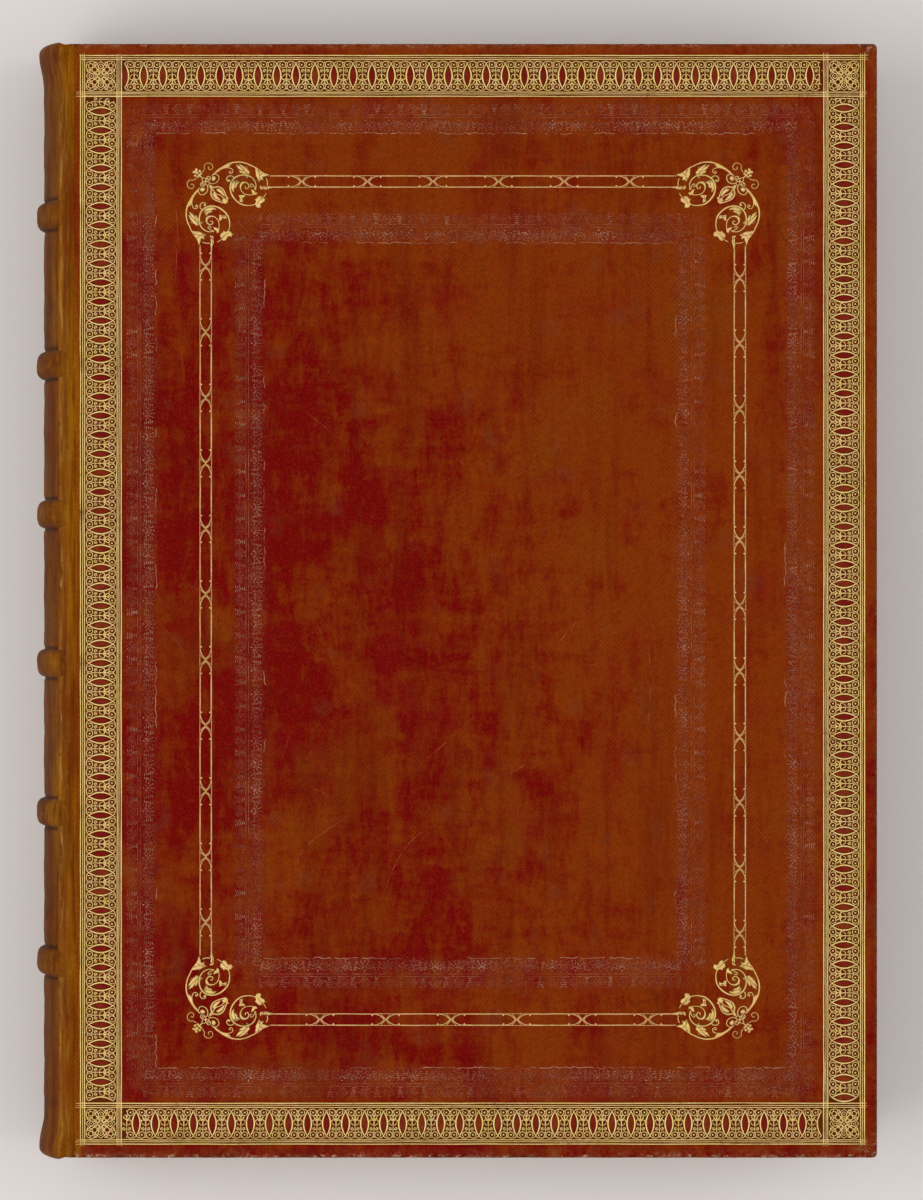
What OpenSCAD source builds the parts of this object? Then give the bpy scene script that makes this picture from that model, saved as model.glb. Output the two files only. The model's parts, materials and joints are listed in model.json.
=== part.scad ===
// A large antique book in full leather, lying closed on its lower cover.
// X runs from the back to the fore edge, Y from the tail to the head, Z up.
// The origin is under the middle of the whole book, on the surface it lies on.

/* [Boards and covering leather] */
// Width of a cover, from the joint to the fore edge
board_w = 294; // [240:1:330]
// Height of a cover, from tail to head
board_h = 405; // [340:1:440]
// Thickness of the pasteboard
board_t = 4.2; // [3:0.1:6]
// Thickness of the covering leather
leather_t = 0.9; // [0.8:0.05:1.2]
// Thickness of the leather turned in over the inside of the board
turn_in_t = 0.5; // [0.3:0.05:0.7]
// Width of the turned-in leather
turn_in_w = 18; // [12:1:26]
// Rounding of the cover along its outer edges
edge_round = 1.7; // [1.2:0.1:2]
// Rounding of the two fore-edge corners of a cover
corner_round = 2; // [1:0.25:2.5]
// Play between the pages and a closed cover
cover_gap = 0.3; // [0.2:0.05:0.5]

/* [Pages] */
// Thickness of the sewn pages
pages_t = 49.5; // [36:0.5:64]
// How far the covers stand out beyond the pages
square_w = 4.5; // [4:0.25:6]
// Depth of the hollow along the fore edge
fore_hollow = 7; // [4:0.5:10]
// Thickness of a free endpaper
endpaper_t = 0.25; // [0.15:0.05:0.4]
// Number of sewn sections that show in the page edges
sections = 20; // [8:1:24]
// Depth of the furrow between two sections
section_furrow = 0.4; // [0.2:0.05:0.6]

/* [Back] */
// How far the rounded back stands out beyond the joint
back_round = 11; // [8:0.5:14]
// Thickness of the paper lining on the back
lining_t = 0.4; // [0.3:0.05:0.6]
// Number of raised bands
bands = 6; // [3:1:7]
// Width of a raised band
band_w = 10; // [9:0.25:12]
// How far a raised band stands out beyond the back
band_rise = 2.4; // [1.8:0.1:3]
// From the head of the cover to the middle of the first band
head_panel = 61.5; // [50:0.5:70]
// From the tail of the cover to the middle of the last band
tail_panel = 70.5; // [55:0.5:80]
// Diameter of one of the two cords in a band
cord_d = 2.9; // [2.4:0.1:3.2]
// How far a cap of the back stands out beyond the covers
cap_over = 1; // [0.5:0.25:1.5]
// How far a cap flares out beyond the back
cap_flare = 1.8; // [1:0.2:2.4]
// Length of the flare at each end of the back
flare_len = 13; // [9:0.5:18]
// Diameter of the core of an endband
endband_core_d = 3; // [2.4:0.1:3.2]
// Silk turns that show on an endband
silk_turns = 13; // [9:2:21]

/* [Laced cords] */
// Length of a frayed cord end in the board
slip_l = 24; // [16:1:32]
// Width of a cord end at the joint
slip_w = 7; // [5:0.5:8]
// Width of a cord end where it is frayed out
slip_fan = 15; // [10:0.5:18]
// Thickness of a flattened cord end
slip_t = 0.8; // [0.5:0.1:1.2]

/* [Gilt and blind tooling] */
// Depth of the tooled bands in the leather
tool_depth = 0.3; // [0.2:0.05:0.4]
// Thickness of the gold in the tooling
gilt_t = 0.2; // [0.1:0.05:0.2]
// From the joint to the gilt border
border_joint = 4.4; // [3:0.1:8]
// From the fore edge to the gilt border
border_fore = 2.6; // [2.2:0.1:8]
// From the head edge to the gilt border
border_head = 3.1; // [2.2:0.1:8]
// From the tail edge to the gilt border
border_tail = 3.7; // [2.2:0.1:8]
// Width of the gilt border
border_w = 15.5; // [12:0.5:18]
// Width of one line of a gilt fillet
fillet_w = 0.8; // [0.5:0.1:1]
// Space between the lines of a fillet
fillet_gap = 0.45; // [0.3:0.05:0.6]
// Length of one repeat of the border roll
roll_pitch = 7; // [6:0.25:9]
// Width of an almond in the border roll
almond_w = 2.8; // [2:0.1:3.4]
// From the edges of the cover to the middle of the chain panel
chain_inset = 49.5; // [40:0.5:56]
// Space between the two lines of the chain, middle to middle
chain_w = 3.95; // [3:0.1:5]
// Width of a line of the chain
chain_line = 0.7; // [0.5:0.1:0.9]
// Distance between two crosses of the chain
chain_pitch = 23.9; // [18:0.5:30]
// Distance from a panel corner to the first cross
chain_start = 32; // [28:0.5:40]
// From the edges of the cover to the outer blind frame
blind_outer_inset = 20; // [19.5:0.25:24]
// From the edges of the cover to the inner blind frame
blind_inner_inset = 60.5; // [58:0.5:70]
// Width of a blind frame
blind_w = 12; // [8:0.5:14]
// Depth of a blind frame
blind_depth = 0.2; // [0.1:0.05:0.3]

/* [Hidden] */
// Clearance between pieces that are glued or laid on each other
seat = 0.1;
// From the joint line to the leather on either side of it
joint_clear = 0.3;
// From the joint line to the edge of a board
board_back_gap = 0.6;
cover_t = leather_t + board_t + turn_in_t;
block_t = pages_t + 2 * endpaper_t;
book_t = block_t + 2 * (cover_t + cover_gap);
mid_z = book_t / 2;
page_h = board_h - 2 * square_w;
// The joint line lies at the edge of the outer face of each cover
joint_x = (back_round + band_rise - board_w) / 2;
fore_x = joint_x + board_w;
head_y = board_h / 2;
// The back is an arc through both joint lines
back_r = (mid_z * mid_z + back_round * back_round) / (2 * back_round);
back_x = joint_x - back_round + back_r;
lining_r = back_r - leather_t - seat;
block_r = lining_r - lining_t - seat;
// A band is an arc that rises from the back between its two ends
band_end_drop = 1.5;
band_end_z = mid_z - band_end_drop;
band_end_x = back_x - sqrt(back_r * back_r - band_end_z * band_end_z);
band_sag = band_end_x - (joint_x - back_round - band_rise);
band_r = (band_end_z * band_end_z + band_sag * band_sag) / (2 * band_sag);
band_x = joint_x - back_round - band_rise + band_r;
band_half_angle = asin(band_end_z / band_r);
band_edge_round = 1.5;
band_pitch = (board_h - head_panel - tail_panel) / (bands - 1);
channel_w = 2 * cord_d + 0.6;
cord_in_r = band_r - leather_t - seat - cord_d;
channel_in_r = cord_in_r - 2 * seat;
// A cord ends before it reaches the board and the endpaper
cord_half_angle = acos((band_x - joint_x + joint_clear + seat) / cord_in_r);
nip_w = 0.8;
nip_depth = 0.3;
// The caps fold over the endbands
cap_y = head_y + cap_over;
cap_round = 2.6;
cap_cover = 8;
cap_lip_r = 0.7;
endband_r = endband_core_d / 2 + 0.4;
endband_sweep_r = block_r - endband_r - seat;
endband_y = page_h / 2 + endband_r + seat;
endband_half_angle = 34;
// Levels of the upper cover
skin_z = book_t - leather_t;
board_z = skin_z - board_t;
inner_z = board_z - turn_in_t;
// The fore edge of the pages is an arc too
page_fore_x = fore_x - square_w;
hollow_r = (block_t * block_t / 4 + fore_hollow * fore_hollow) / (2 * fore_hollow);
hollow_x = page_fore_x - fore_hollow + hollow_r;
board_end_x = fore_x - leather_t;
board_end_y = head_y - leather_t;
far = 400;
smooth = 144;

// Height of raised band i, counted from the head
function band_y(i) = head_y - head_panel - (i - 1) * band_pitch;

// Puts a shape that is made for the upper cover on the lower cover
module on_lower() {
    translate([0, 0, book_t]) mirror([0, 0, 1]) children();
}

// Extrudes an outline drawn in X and Z along Y, from one height to another
module along_y(from_y, to_y) {
    translate([0, from_y, 0]) mirror([0, 1, 0]) rotate([90, 0, 0])
        linear_extrude(height = to_y - from_y) children();
}

// Sweeps a profile of radius and Y around an axis that runs along Y
module sweep(axis_x, half_angle) {
    translate([axis_x, 0, mid_z]) mirror([0, 1, 0]) rotate([90, 0, 0]) rotate([0, 0, 180 - half_angle])
        rotate_extrude(angle = 2 * half_angle, $fn = smooth) children();
}

// A flat rectangle from one corner to another
module rect(x0, y0, x1, y1) {
    translate([x0, y0]) square([x1 - x0, y1 - y0]);
}

// A rectangular frame: its outer corners and the width of its four sides
module frame_2d(x0, y0, x1, y1, w) {
    difference() {
        rect(x0, y0, x1, y1);
        rect(x0 + w, y0 + w, x1 - w, y1 - w);
    }
}

// The space between the two joint lines, where everything on the back stays
module back_space() {
    translate([joint_x - far, -far, joint_clear])
        cube([far - joint_clear, 2 * far, book_t - 2 * joint_clear]);
}

// Outline of the pages between given levels: rounded back, hollow fore edge
module block_2d(z0, z1) {
    difference() {
        union() {
            rect(joint_x - joint_clear - 1, z0, page_fore_x, z1);
            intersection() {
                translate([back_x, mid_z]) circle(r = block_r, $fn = smooth);
                rect(joint_x - far, joint_clear, joint_x - joint_clear, book_t - joint_clear);
            }
        }
        translate([hollow_x, mid_z]) circle(r = hollow_r, $fn = smooth);
    }
}

// The run of a double cord around the back, as wide as the channel it lies in
module cord_channel(i, outer_r) {
    sweep(band_x, band_half_angle + 2)
        rect(channel_in_r, band_y(i) - channel_w / 2, outer_r, band_y(i) + channel_w / 2);
}

// The furrows between the sections, along the head, the tail and the fore edge
module section_furrows() {
    step = pages_t / sections;
    for (k = [1:sections - 1]) {
        z = mid_z - pages_t / 2 + k * step;
        edge_x = hollow_x - sqrt(hollow_r * hollow_r - (z - mid_z) * (z - mid_z));
        translate([edge_x, 0, z]) furrow_along_y();
        for (side = [-1, 1])
            translate([0, side * page_h / 2, z]) furrow_along_x();
    }
}

module furrow_along_y() {
    along_y(-far, far) rotate(45) square(section_furrow, center = true);
}

module furrow_along_x() {
    rotate([0, 90, 0]) linear_extrude(height = 2 * far, center = true)
        rotate(45) square(section_furrow, center = true);
}

// The sewn pages
module text_block() {
    color([0.86, 0.79, 0.64]) difference() {
        along_y(-page_h / 2, page_h / 2)
            block_2d(mid_z - pages_t / 2, mid_z + pages_t / 2);
        section_furrows();
        for (i = [1:bands]) cord_channel(i, band_r);
    }
}

// A leaf between the pages and a cover
module endpaper() {
    start_x = joint_x - joint_clear;
    color([0.88, 0.82, 0.70])
        translate([start_x, -page_h / 2, mid_z + pages_t / 2])
            cube([page_fore_x - start_x - hollow_edge(), page_h, endpaper_t]);
}

// How far the hollow of the fore edge has eaten into the top leaf
function hollow_edge() =
    page_fore_x - (hollow_x - sqrt(hollow_r * hollow_r - pages_t * pages_t / 4));

module front_free_endpaper() {
    endpaper();
}

module rear_free_endpaper() {
    on_lower() endpaper();
}

// Lining i on the back, between two cords or between a cord and an end
module spine_lining(i) {
    top = i == 1 ? page_h / 2 : band_y(i - 1) - channel_w / 2 - seat;
    bottom = i == bands + 1 ? -page_h / 2 : band_y(i) + channel_w / 2 + seat;
    color([0.75, 0.68, 0.55]) along_y(bottom, top) intersection() {
        difference() {
            translate([back_x, mid_z]) circle(r = lining_r, $fn = smooth);
            translate([back_x, mid_z]) circle(r = lining_r - lining_t, $fn = smooth);
        }
        rect(joint_x - far, 3 * joint_clear, joint_x - 3 * joint_clear, book_t - 3 * joint_clear);
    }
}

// Double cord i, which carries the sewing around the back
module sewing_cord(i) {
    color([0.72, 0.62, 0.42]) sweep(band_x, cord_half_angle) {
        for (side = [-1, 1])
            translate([cord_in_r + cord_d / 2, band_y(i) + side * (cord_d / 2 + seat)])
                rotate(22.5) circle(r = cord_d / 2, $fn = 8);
    }
}

// A cord core wound with silk, standing on the end of the pages
module endband() {
    step = 2 * endband_half_angle / silk_turns;
    color([0.78, 0.60, 0.30]) union() {
        endband_stretch(0, endband_half_angle, endband_core_d / 2);
        for (k = [0:silk_turns - 1])
            endband_stretch((k + 0.5) * step - endband_half_angle, step * 0.35, endband_r);
    }
}

// One stretch of an endband, at an angle along it, with a given radius
module endband_stretch(at, half_angle, r) {
    translate([back_x, 0, mid_z]) rotate([0, at, 0]) translate([-back_x, 0, -mid_z])
        sweep(back_x, half_angle)
            translate([endband_sweep_r, endband_y]) rotate(22.5) circle(r = r, $fn = 8);
}

module head_endband() {
    endband();
}

module tail_endband() {
    mirror([0, 1, 0]) endband();
}

// Section of a raised band, with rounded shoulders
module band_profile(y) {
    deep_r = channel_in_r;
    round_r = band_edge_round;
    union() {
        rect(deep_r, y - band_w / 2, band_r - round_r, y + band_w / 2);
        rect(deep_r, y - band_w / 2 + round_r, band_r, y + band_w / 2 - round_r);
        for (side = [-1, 1])
            translate([band_r - round_r, y + side * (band_w / 2 - round_r)])
                circle(r = round_r, $fn = 48);
    }
}

// Section of the cap at the head: the leather flares, then folds over the endband
module cap_profile() {
    flare_r = back_r + cap_flare;
    fold_y = cap_y - cap_round;
    start_y = fold_y - flare_len;
    polygon([
        [back_r - leather_t, start_y - 1], [back_r, start_y - 1], [back_r, start_y],
        [flare_r, fold_y], [flare_r - leather_t, fold_y], [back_r - leather_t, start_y]
    ]);
    intersection() {
        difference() {
            translate([flare_r - cap_round, fold_y]) circle(r = cap_round, $fn = 64);
            translate([flare_r - cap_round, fold_y]) circle(r = cap_round - leather_t, $fn = 64);
        }
        rect(flare_r - cap_round, fold_y, flare_r, cap_y);
    }
    rect(flare_r - cap_cover, cap_y - leather_t, flare_r - cap_round, cap_y);
    translate([flare_r - cap_cover, cap_y - cap_lip_r]) circle(r = cap_lip_r, $fn = 32);
}

// Section of the whole back without its bands: creased beside each band, with a cap at both ends
module back_profile() {
    end_y = cap_y - cap_round - flare_len;
    difference() {
        rect(back_r - leather_t, -end_y - seat, back_r, end_y + seat);
        for (i = [1:bands]) for (side = [-1, 1])
            translate([back_r, band_y(i) + side * (band_w + nip_w) / 2])
                square([2 * nip_depth, nip_w], center = true);
    }
    cap_profile();
    mirror([0, 1]) cap_profile();
}

// The raised bands, hollowed to the middle of the leather that they stand on
module raised_bands() {
    difference() {
        for (i = [1:bands]) sweep(band_x, band_half_angle) band_profile(band_y(i));
        along_y(-head_y, head_y)
            translate([back_x, mid_z]) circle(r = back_r - leather_t / 2, $fn = smooth);
    }
}

// The leather of the back with its raised bands, head cap and tail cap
module spine_leather() {
    color([0.42, 0.24, 0.08]) intersection() {
        back_space();
        difference() {
            union() {
                sweep(back_x, 50) back_profile();
                raised_bands();
            }
            for (i = [1:bands]) cord_channel(i, band_r - leather_t);
        }
    }
}

// Outline of a flattened and fanned cord end, grown by a margin
module slip_2d(i, margin) {
    start_x = joint_x + board_back_gap;
    translate([start_x, band_y(i)]) polygon([
        [0, -slip_w / 2 - margin], [slip_l / 3, -slip_w / 2 - margin],
        [slip_l + margin, -slip_fan / 2 - margin], [slip_l + margin, slip_fan / 2 + margin],
        [slip_l / 3, slip_w / 2 + margin], [0, slip_w / 2 + margin]
    ]);
}

// A cord end pasted down in its groove, under the leather
module slip(i) {
    color([0.74, 0.65, 0.46]) translate([0, 0, skin_z - slip_t])
        linear_extrude(height = slip_t) slip_2d(i, 0);
}

// The pasteboard, with a groove for each cord end
module board() {
    color([0.55, 0.47, 0.36]) difference() {
        translate([joint_x + board_back_gap, -board_end_y, board_z])
            cube([board_end_x - joint_x - board_back_gap, 2 * board_end_y, board_t]);
        translate([0, 0, skin_z - slip_t]) linear_extrude(height = slip_t + 1)
            for (i = [1:bands]) slip_2d(i, seat);
    }
}

// The body of a covered board, rounded at its edges and its outer corners
module cover_form() {
    start_x = joint_x + joint_clear;
    intersection() {
        along_y(-head_y, head_y) union() {
            rect(start_x, inner_z, fore_x - edge_round, book_t);
            translate([fore_x - edge_round, inner_z]) edge_2d();
        }
        translate([start_x, 0, 0]) rotate([90, 0, 90]) linear_extrude(height = board_w) union() {
            rect(edge_round - head_y, inner_z, head_y - edge_round, book_t);
            translate([head_y - edge_round, inner_z]) edge_2d();
            mirror([1, 0]) translate([head_y - edge_round, inner_z]) edge_2d();
        }
        linear_extrude(height = book_t + 1) union() {
            rect(start_x, -head_y, fore_x - corner_round, head_y);
            rect(start_x, corner_round - head_y, fore_x, head_y - corner_round);
            for (side = [-1, 1])
                translate([fore_x - corner_round, side * (head_y - corner_round)])
                    circle(r = corner_round, $fn = 48);
        }
    }
}

// The rounded rim of a cover, seen along its edge
module edge_2d() {
    height = cover_t;
    intersection() {
        union() {
            rect(0, edge_round, edge_round, height - edge_round);
            for (z = [edge_round, height - edge_round]) translate([0, z]) circle(r = edge_round, $fn = 48);
        }
        rect(0, 0, edge_round, height);
    }
    rect(-seat, 0, 0, height);
}

// The leather over a board: outer face, edges and turn-ins, with the tooling sunk in
module cover_leather() {
    start_x = joint_x + joint_clear;
    color([0.45, 0.10, 0.04]) difference() {
        cover_form();
        translate([start_x - 1, -board_end_y, board_z])
            cube([board_end_x - start_x + 1, 2 * board_end_y, board_t]);
        translate([start_x - 1, turn_in_w - head_y, inner_z - 1])
            cube([fore_x - turn_in_w - start_x + 1, 2 * (head_y - turn_in_w), turn_in_t + 1]);
        translate([0, 0, book_t - tool_depth]) linear_extrude(height = 1) {
            border_band_2d();
            chain_band_2d();
            panel_corners_2d();
        }
        translate([0, 0, book_t - blind_depth]) linear_extrude(height = 1) {
            blind_frame_2d(blind_outer_inset);
            blind_frame_2d(blind_inner_inset);
        }
    }
}

// The paper pasted inside a cover, between the turn-ins
module pastedown() {
    start_x = joint_x + board_back_gap;
    end_x = fore_x - turn_in_w - seat;
    half_h = head_y - turn_in_w - seat;
    color([0.88, 0.82, 0.70]) translate([start_x, -half_h, inner_z])
        cube([end_x - start_x, 2 * half_h, turn_in_t]);
}

// Corners of the gilt border
border_x0 = joint_x + border_joint;
border_x1 = fore_x - border_fore;
border_y0 = border_tail - head_y;
border_y1 = head_y - border_head;
lace_in = 2 * fillet_w + 2 * fillet_gap;
lace_w = border_w - 2 * lace_in;

module border_band_2d() {
    frame_2d(border_x0, border_y0, border_x1, border_y1, border_w);
}

module blind_frame_2d(inset) {
    frame_2d(joint_x + inset, inset - head_y, fore_x - inset, head_y - inset, blind_w);
}

// A frame line of the border, a distance in from its outer edge
module border_line_2d(in) {
    frame_2d(border_x0 + in, border_y0 + in, border_x1 - in, border_y1 - in, fillet_w);
}

// One almond of the roll
module almond_2d() {
    half_l = lace_w / 2 - fillet_gap;
    polygon([[0, half_l], [almond_w / 2, 0], [0, -half_l], [-almond_w / 2, 0]]);
}

// A straight run of the border roll around its middle, pierced by almonds
module roll_2d(length) {
    repeats = floor((length - almond_w) / roll_pitch);
    difference() {
        square([length, lace_w], center = true);
        for (k = [0:repeats]) translate([(k - repeats / 2) * roll_pitch, 0]) almond_2d();
    }
}

// The rosette in a corner of the border, with four pierced petals
module rosette_2d() {
    petal = lace_w / 2 - fillet_gap;
    difference() {
        square(lace_w, center = true);
        for (turn = [45:90:315]) rotate(turn)
            polygon([[0.6, 0], [petal * 0.75, petal * 0.22], [petal * 1.2, 0], [petal * 0.75, -petal * 0.22]]);
    }
}

// All gold of the border: double fillets, roll and rosettes
module gilt_border_2d() {
    in = lace_in + lace_w / 2;
    mid_x = (border_x0 + border_x1) / 2;
    mid_y = (border_y0 + border_y1) / 2;
    run_x = border_x1 - border_x0 - 2 * border_w;
    run_y = border_y1 - border_y0 - 2 * border_w;
    border_line_2d(0);
    border_line_2d(fillet_w + fillet_gap);
    border_line_2d(border_w - fillet_w);
    border_line_2d(border_w - 2 * fillet_w - fillet_gap);
    for (y = [border_y0 + in, border_y1 - in]) {
        translate([mid_x, y]) roll_2d(run_x);
        for (x = [border_x0 + in, border_x1 - in]) translate([x, y]) rosette_2d();
    }
    for (x = [border_x0 + in, border_x1 - in]) translate([x, mid_y]) rotate(90) roll_2d(run_y);
}

// Corners of the chain panel, along the middle of the chain
chain_x0 = joint_x + chain_inset;
chain_x1 = fore_x - chain_inset;
chain_y1 = head_y - chain_inset;
chain_side = (chain_w + chain_line) / 2;

module chain_band_2d() {
    frame_2d(chain_x0 - chain_side, -chain_y1 - chain_side, chain_x1 + chain_side, chain_y1 + chain_side,
             2 * chain_side);
}

// A cross that ties the two lines of the chain
module cross_2d() {
    tip = chain_w / 2 - chain_line / 2;
    waist = 0.5;
    long_tip = tip * 1.6;
    polygon([
        [long_tip, tip], [0, waist], [-long_tip, tip], [-waist * 1.6, 0],
        [-long_tip, -tip], [0, -waist], [long_tip, -tip], [waist * 1.6, 0]
    ]);
}

// A row of crosses around its middle
module cross_row_2d(length) {
    repeats = floor((length - 2 * chain_start) / chain_pitch);
    for (k = [0:repeats]) translate([(k - repeats / 2) * chain_pitch, 0]) cross_2d();
}

module gilt_panel_2d() {
    length_x = chain_x1 - chain_x0;
    mid_x = (chain_x0 + chain_x1) / 2;
    difference() {
        union() {
            for (out = [-chain_side, chain_side - chain_line])
                frame_2d(chain_x0 + out, -chain_y1 + out, chain_x1 - out, chain_y1 - out, chain_line);
            for (y = [-chain_y1, chain_y1]) translate([mid_x, y]) cross_row_2d(length_x);
            for (x = [chain_x0, chain_x1]) translate([x, 0]) rotate(90) cross_row_2d(2 * chain_y1);
        }
        panel_corners_2d();
    }
}

// A ring of gold
module ring_2d(r, w) {
    difference() {
        circle(r = r, $fn = 12);
        circle(r = r - w, $fn = 12);
    }
}

// A corner piece: two volutes, a bud on the diagonal and a flower on the corner.
// It is drawn from the corner of the chain, with both arms running inwards.
volute_out = 15.6;
volute_side = 3;
volute_r = 6.2;
module corner_piece_2d() {
    for (flip = [0, 1]) mirror([flip, -flip]) {
        translate([volute_out, volute_side]) ring_2d(volute_r, 1.3);
        translate([volute_out, volute_side]) circle(r = volute_r * 0.45, $fn = 8);
        polygon([
            [volute_out + volute_r - 1, volute_side - 2.2], [volute_out + volute_r + 1.2, 0.6],
            [volute_out + volute_r + 0.6, -2.6], [volute_out + volute_r * 0.4, -volute_r + volute_side + 0.8]
        ]);
        polygon([[1.2, -1.2], [volute_out - 3, -2.2], [volute_out - 4, -0.9], [1.2, 0.6]]);
        translate([1, -5.4]) circle(r = 1.6, $fn = 8);
    }
    polygon([[2, 2], [6.6, 3.6], [9.4, 9.4], [3.6, 6.6]]);
    translate([-2.8, -2.8]) circle(r = 2.4, $fn = 8);
    polygon([[-1.8, 1], [1, -1.8], [3, 0.6], [0.6, 3]]);
}

module panel_corners_2d() {
    mid_x = (chain_x0 + chain_x1) / 2;
    for (side_x = [0, 1]) for (side_y = [0, 1])
        translate([mid_x, 0]) mirror([side_x, 0]) mirror([0, side_y])
            translate([chain_x0 - mid_x, -chain_y1]) corner_piece_2d();
}

// Lays a flat pattern of gold on the floor of the tooling
module gold() {
    color([0.85, 0.68, 0.36]) translate([0, 0, book_t - tool_depth])
        linear_extrude(height = gilt_t) children();
}

module gilt_border() {
    gold() gilt_border_2d();
}

module gilt_panel() {
    gold() gilt_panel_2d();
}

module gilt_corners() {
    gold() panel_corners_2d();
}

text_block();
front_free_endpaper();
rear_free_endpaper();
for (i = [1:bands + 1]) spine_lining(i);
for (i = [1:bands]) sewing_cord(i);
head_endband();
tail_endband();
spine_leather();
board();  // upper_board
cover_leather();  // upper_leather
pastedown();  // upper_pastedown
for (i = [1:bands]) slip(i);
gilt_border();  // upper_gilt_border
gilt_panel();  // upper_gilt_panel
gilt_corners();  // upper_gilt_corners
on_lower() board();  // lower_board
on_lower() cover_leather();  // lower_leather
on_lower() pastedown();  // lower_pastedown
for (i = [1:bands]) on_lower() slip(i);
on_lower() gilt_border();  // lower_gilt_border
on_lower() gilt_panel();  // lower_gilt_panel
on_lower() gilt_corners();  // lower_gilt_corners
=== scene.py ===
"""Looks of a large antique leather book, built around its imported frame.

Shapes are worked out in millimetres, in the frame of the book: X from the back to the fore edge,
Y from the tail to the head, Z up. They become metres when a mesh is made.
"""
import json
import math

import bmesh
import bpy
import numpy as np
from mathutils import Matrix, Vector
from mathutils.geometry import tessellate_polygon


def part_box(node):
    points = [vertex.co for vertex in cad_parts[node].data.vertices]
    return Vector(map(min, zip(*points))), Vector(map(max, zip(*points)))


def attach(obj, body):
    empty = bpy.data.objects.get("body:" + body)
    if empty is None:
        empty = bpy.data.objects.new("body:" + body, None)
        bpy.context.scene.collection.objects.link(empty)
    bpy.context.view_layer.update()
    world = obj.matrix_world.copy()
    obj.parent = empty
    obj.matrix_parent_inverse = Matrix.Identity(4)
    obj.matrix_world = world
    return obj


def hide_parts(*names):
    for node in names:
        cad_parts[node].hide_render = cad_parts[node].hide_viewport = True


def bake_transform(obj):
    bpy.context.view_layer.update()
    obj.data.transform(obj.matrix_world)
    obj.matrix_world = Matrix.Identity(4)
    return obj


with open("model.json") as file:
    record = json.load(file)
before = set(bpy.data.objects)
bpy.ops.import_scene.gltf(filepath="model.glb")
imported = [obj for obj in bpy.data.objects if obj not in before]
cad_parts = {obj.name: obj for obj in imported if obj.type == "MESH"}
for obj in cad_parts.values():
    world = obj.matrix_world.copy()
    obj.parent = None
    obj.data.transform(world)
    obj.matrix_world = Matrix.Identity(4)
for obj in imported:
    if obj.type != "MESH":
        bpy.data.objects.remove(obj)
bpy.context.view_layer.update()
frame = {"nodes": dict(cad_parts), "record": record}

MM = 0.001
rng = np.random.default_rng(17)


# ---------------------------------------------------------------- sizes

def box_mm(node):
    """The lowest and the highest corner of a node's box."""
    lo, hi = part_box(node)
    return np.array(lo) / MM, np.array(hi) / MM


hinge = frame["record"]["behaviour"]["joints"][0]["pos_m"]
JOINT_X = hinge[0] / MM
BOOK_T = hinge[2] / MM
MID_Z = BOOK_T / 2
cover_lo, cover_hi = box_mm("upper_leather")
FORE_X, HEAD_Y = cover_hi[:2]
COVER_T = BOOK_T - cover_lo[2]
CAP_Y = box_mm("spine_leather")[1][1]
PAGE_HEAD_Y = box_mm("text_block")[1][1]
ENDPAPER_TOP = box_mm("front_free_endpaper")[1][2]
# The covers reach this far beyond the pages
FORE_SQUARE = 4.5
PAGE_FORE_X = FORE_X - FORE_SQUARE

# Covers and back
JOINT_CLEAR = 0.3
EDGE_ROUND = 1.7
TURN_IN_W = 18
TURN_IN_T = 0.5
LEATHER_T = 0.9
BACK_ROUND = 11
BACK_R = (MID_Z ** 2 + BACK_ROUND ** 2) / (2 * BACK_ROUND)
BACK_X = JOINT_X - BACK_ROUND + BACK_R
BAND_RISE = 2.4
BAND_END_Z = MID_Z - 1.5
BAND_SAG = BACK_X - math.sqrt(BACK_R ** 2 - BAND_END_Z ** 2) - (JOINT_X - BACK_ROUND - BAND_RISE)
BAND_R = (BAND_END_Z ** 2 + BAND_SAG ** 2) / (2 * BAND_SAG)
BAND_X = JOINT_X - BACK_ROUND - BAND_RISE + BAND_R
BAND_W = 10
FROM_HEAD, FROM_TAIL = 61.5, 70.5
BAND_YS = np.linspace(HEAD_Y - FROM_HEAD, FROM_TAIL - HEAD_Y, 6)
CAP_ROUND = 2.6
CAP_FLARE = 1.8
CAP_COVER = 8
FLARE_LEN = 13
# A fold across the back, near its tail
TAIL_CREASE_Y = -182.5

# Tooling of the covers: each frame is x0, y0, x1, y1 of its outer edge
BORDER_W = 15.4
BORDER = (JOINT_X + 4.2, 4.9 - HEAD_Y, FORE_X - 4.4, HEAD_Y - 4.1)
CHAIN = (JOINT_X + 50, 50.4 - HEAD_Y, FORE_X - 50, HEAD_Y - 50.2)
CHAIN_HALF = 2.05
BLIND_W = 12
BLIND_OUTER = (JOINT_X + 20.7, 21.6 - HEAD_Y, FORE_X - 22.2, HEAD_Y - 21.4)
BLIND_INNER = (JOINT_X + 60, 61.4 - HEAD_Y, FORE_X - 62, HEAD_Y - 61.2)
BORDER_DEPTH = 0.26
CHAIN_DEPTH = 0.16
BLIND_DEPTH = 0.12
CORNER_DEPTH = 0.05
# The chain lies in a frame that reaches a little beyond its outer lines
CHAIN_OUT = CHAIN_HALF + 0.45
CHAIN_FRAME = (CHAIN[0] - CHAIN_OUT, CHAIN[1] - CHAIN_OUT, CHAIN[2] + CHAIN_OUT, CHAIN[3] + CHAIN_OUT)
# Frames pressed into the leather: rectangle, width, depth and softness of the walls
SUNK = ((BORDER, BORDER_W, BORDER_DEPTH, 0.7), (CHAIN_FRAME, 2 * CHAIN_OUT, CHAIN_DEPTH, 0.5),
        (BLIND_OUTER, BLIND_W, BLIND_DEPTH, 0.8), (BLIND_INNER, BLIND_W, BLIND_DEPTH, 0.8))
ROLL_PITCH = 6.912
# Where one almond of the roll lies on each side: X at the head and the tail, Y by the joint and the fore edge
ALMOND_HEAD, ALMOND_TAIL = JOINT_X + 124.25, JOINT_X + 266.67
ALMOND_JOINT, ALMOND_FORE = 11.93, -180.4
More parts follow.
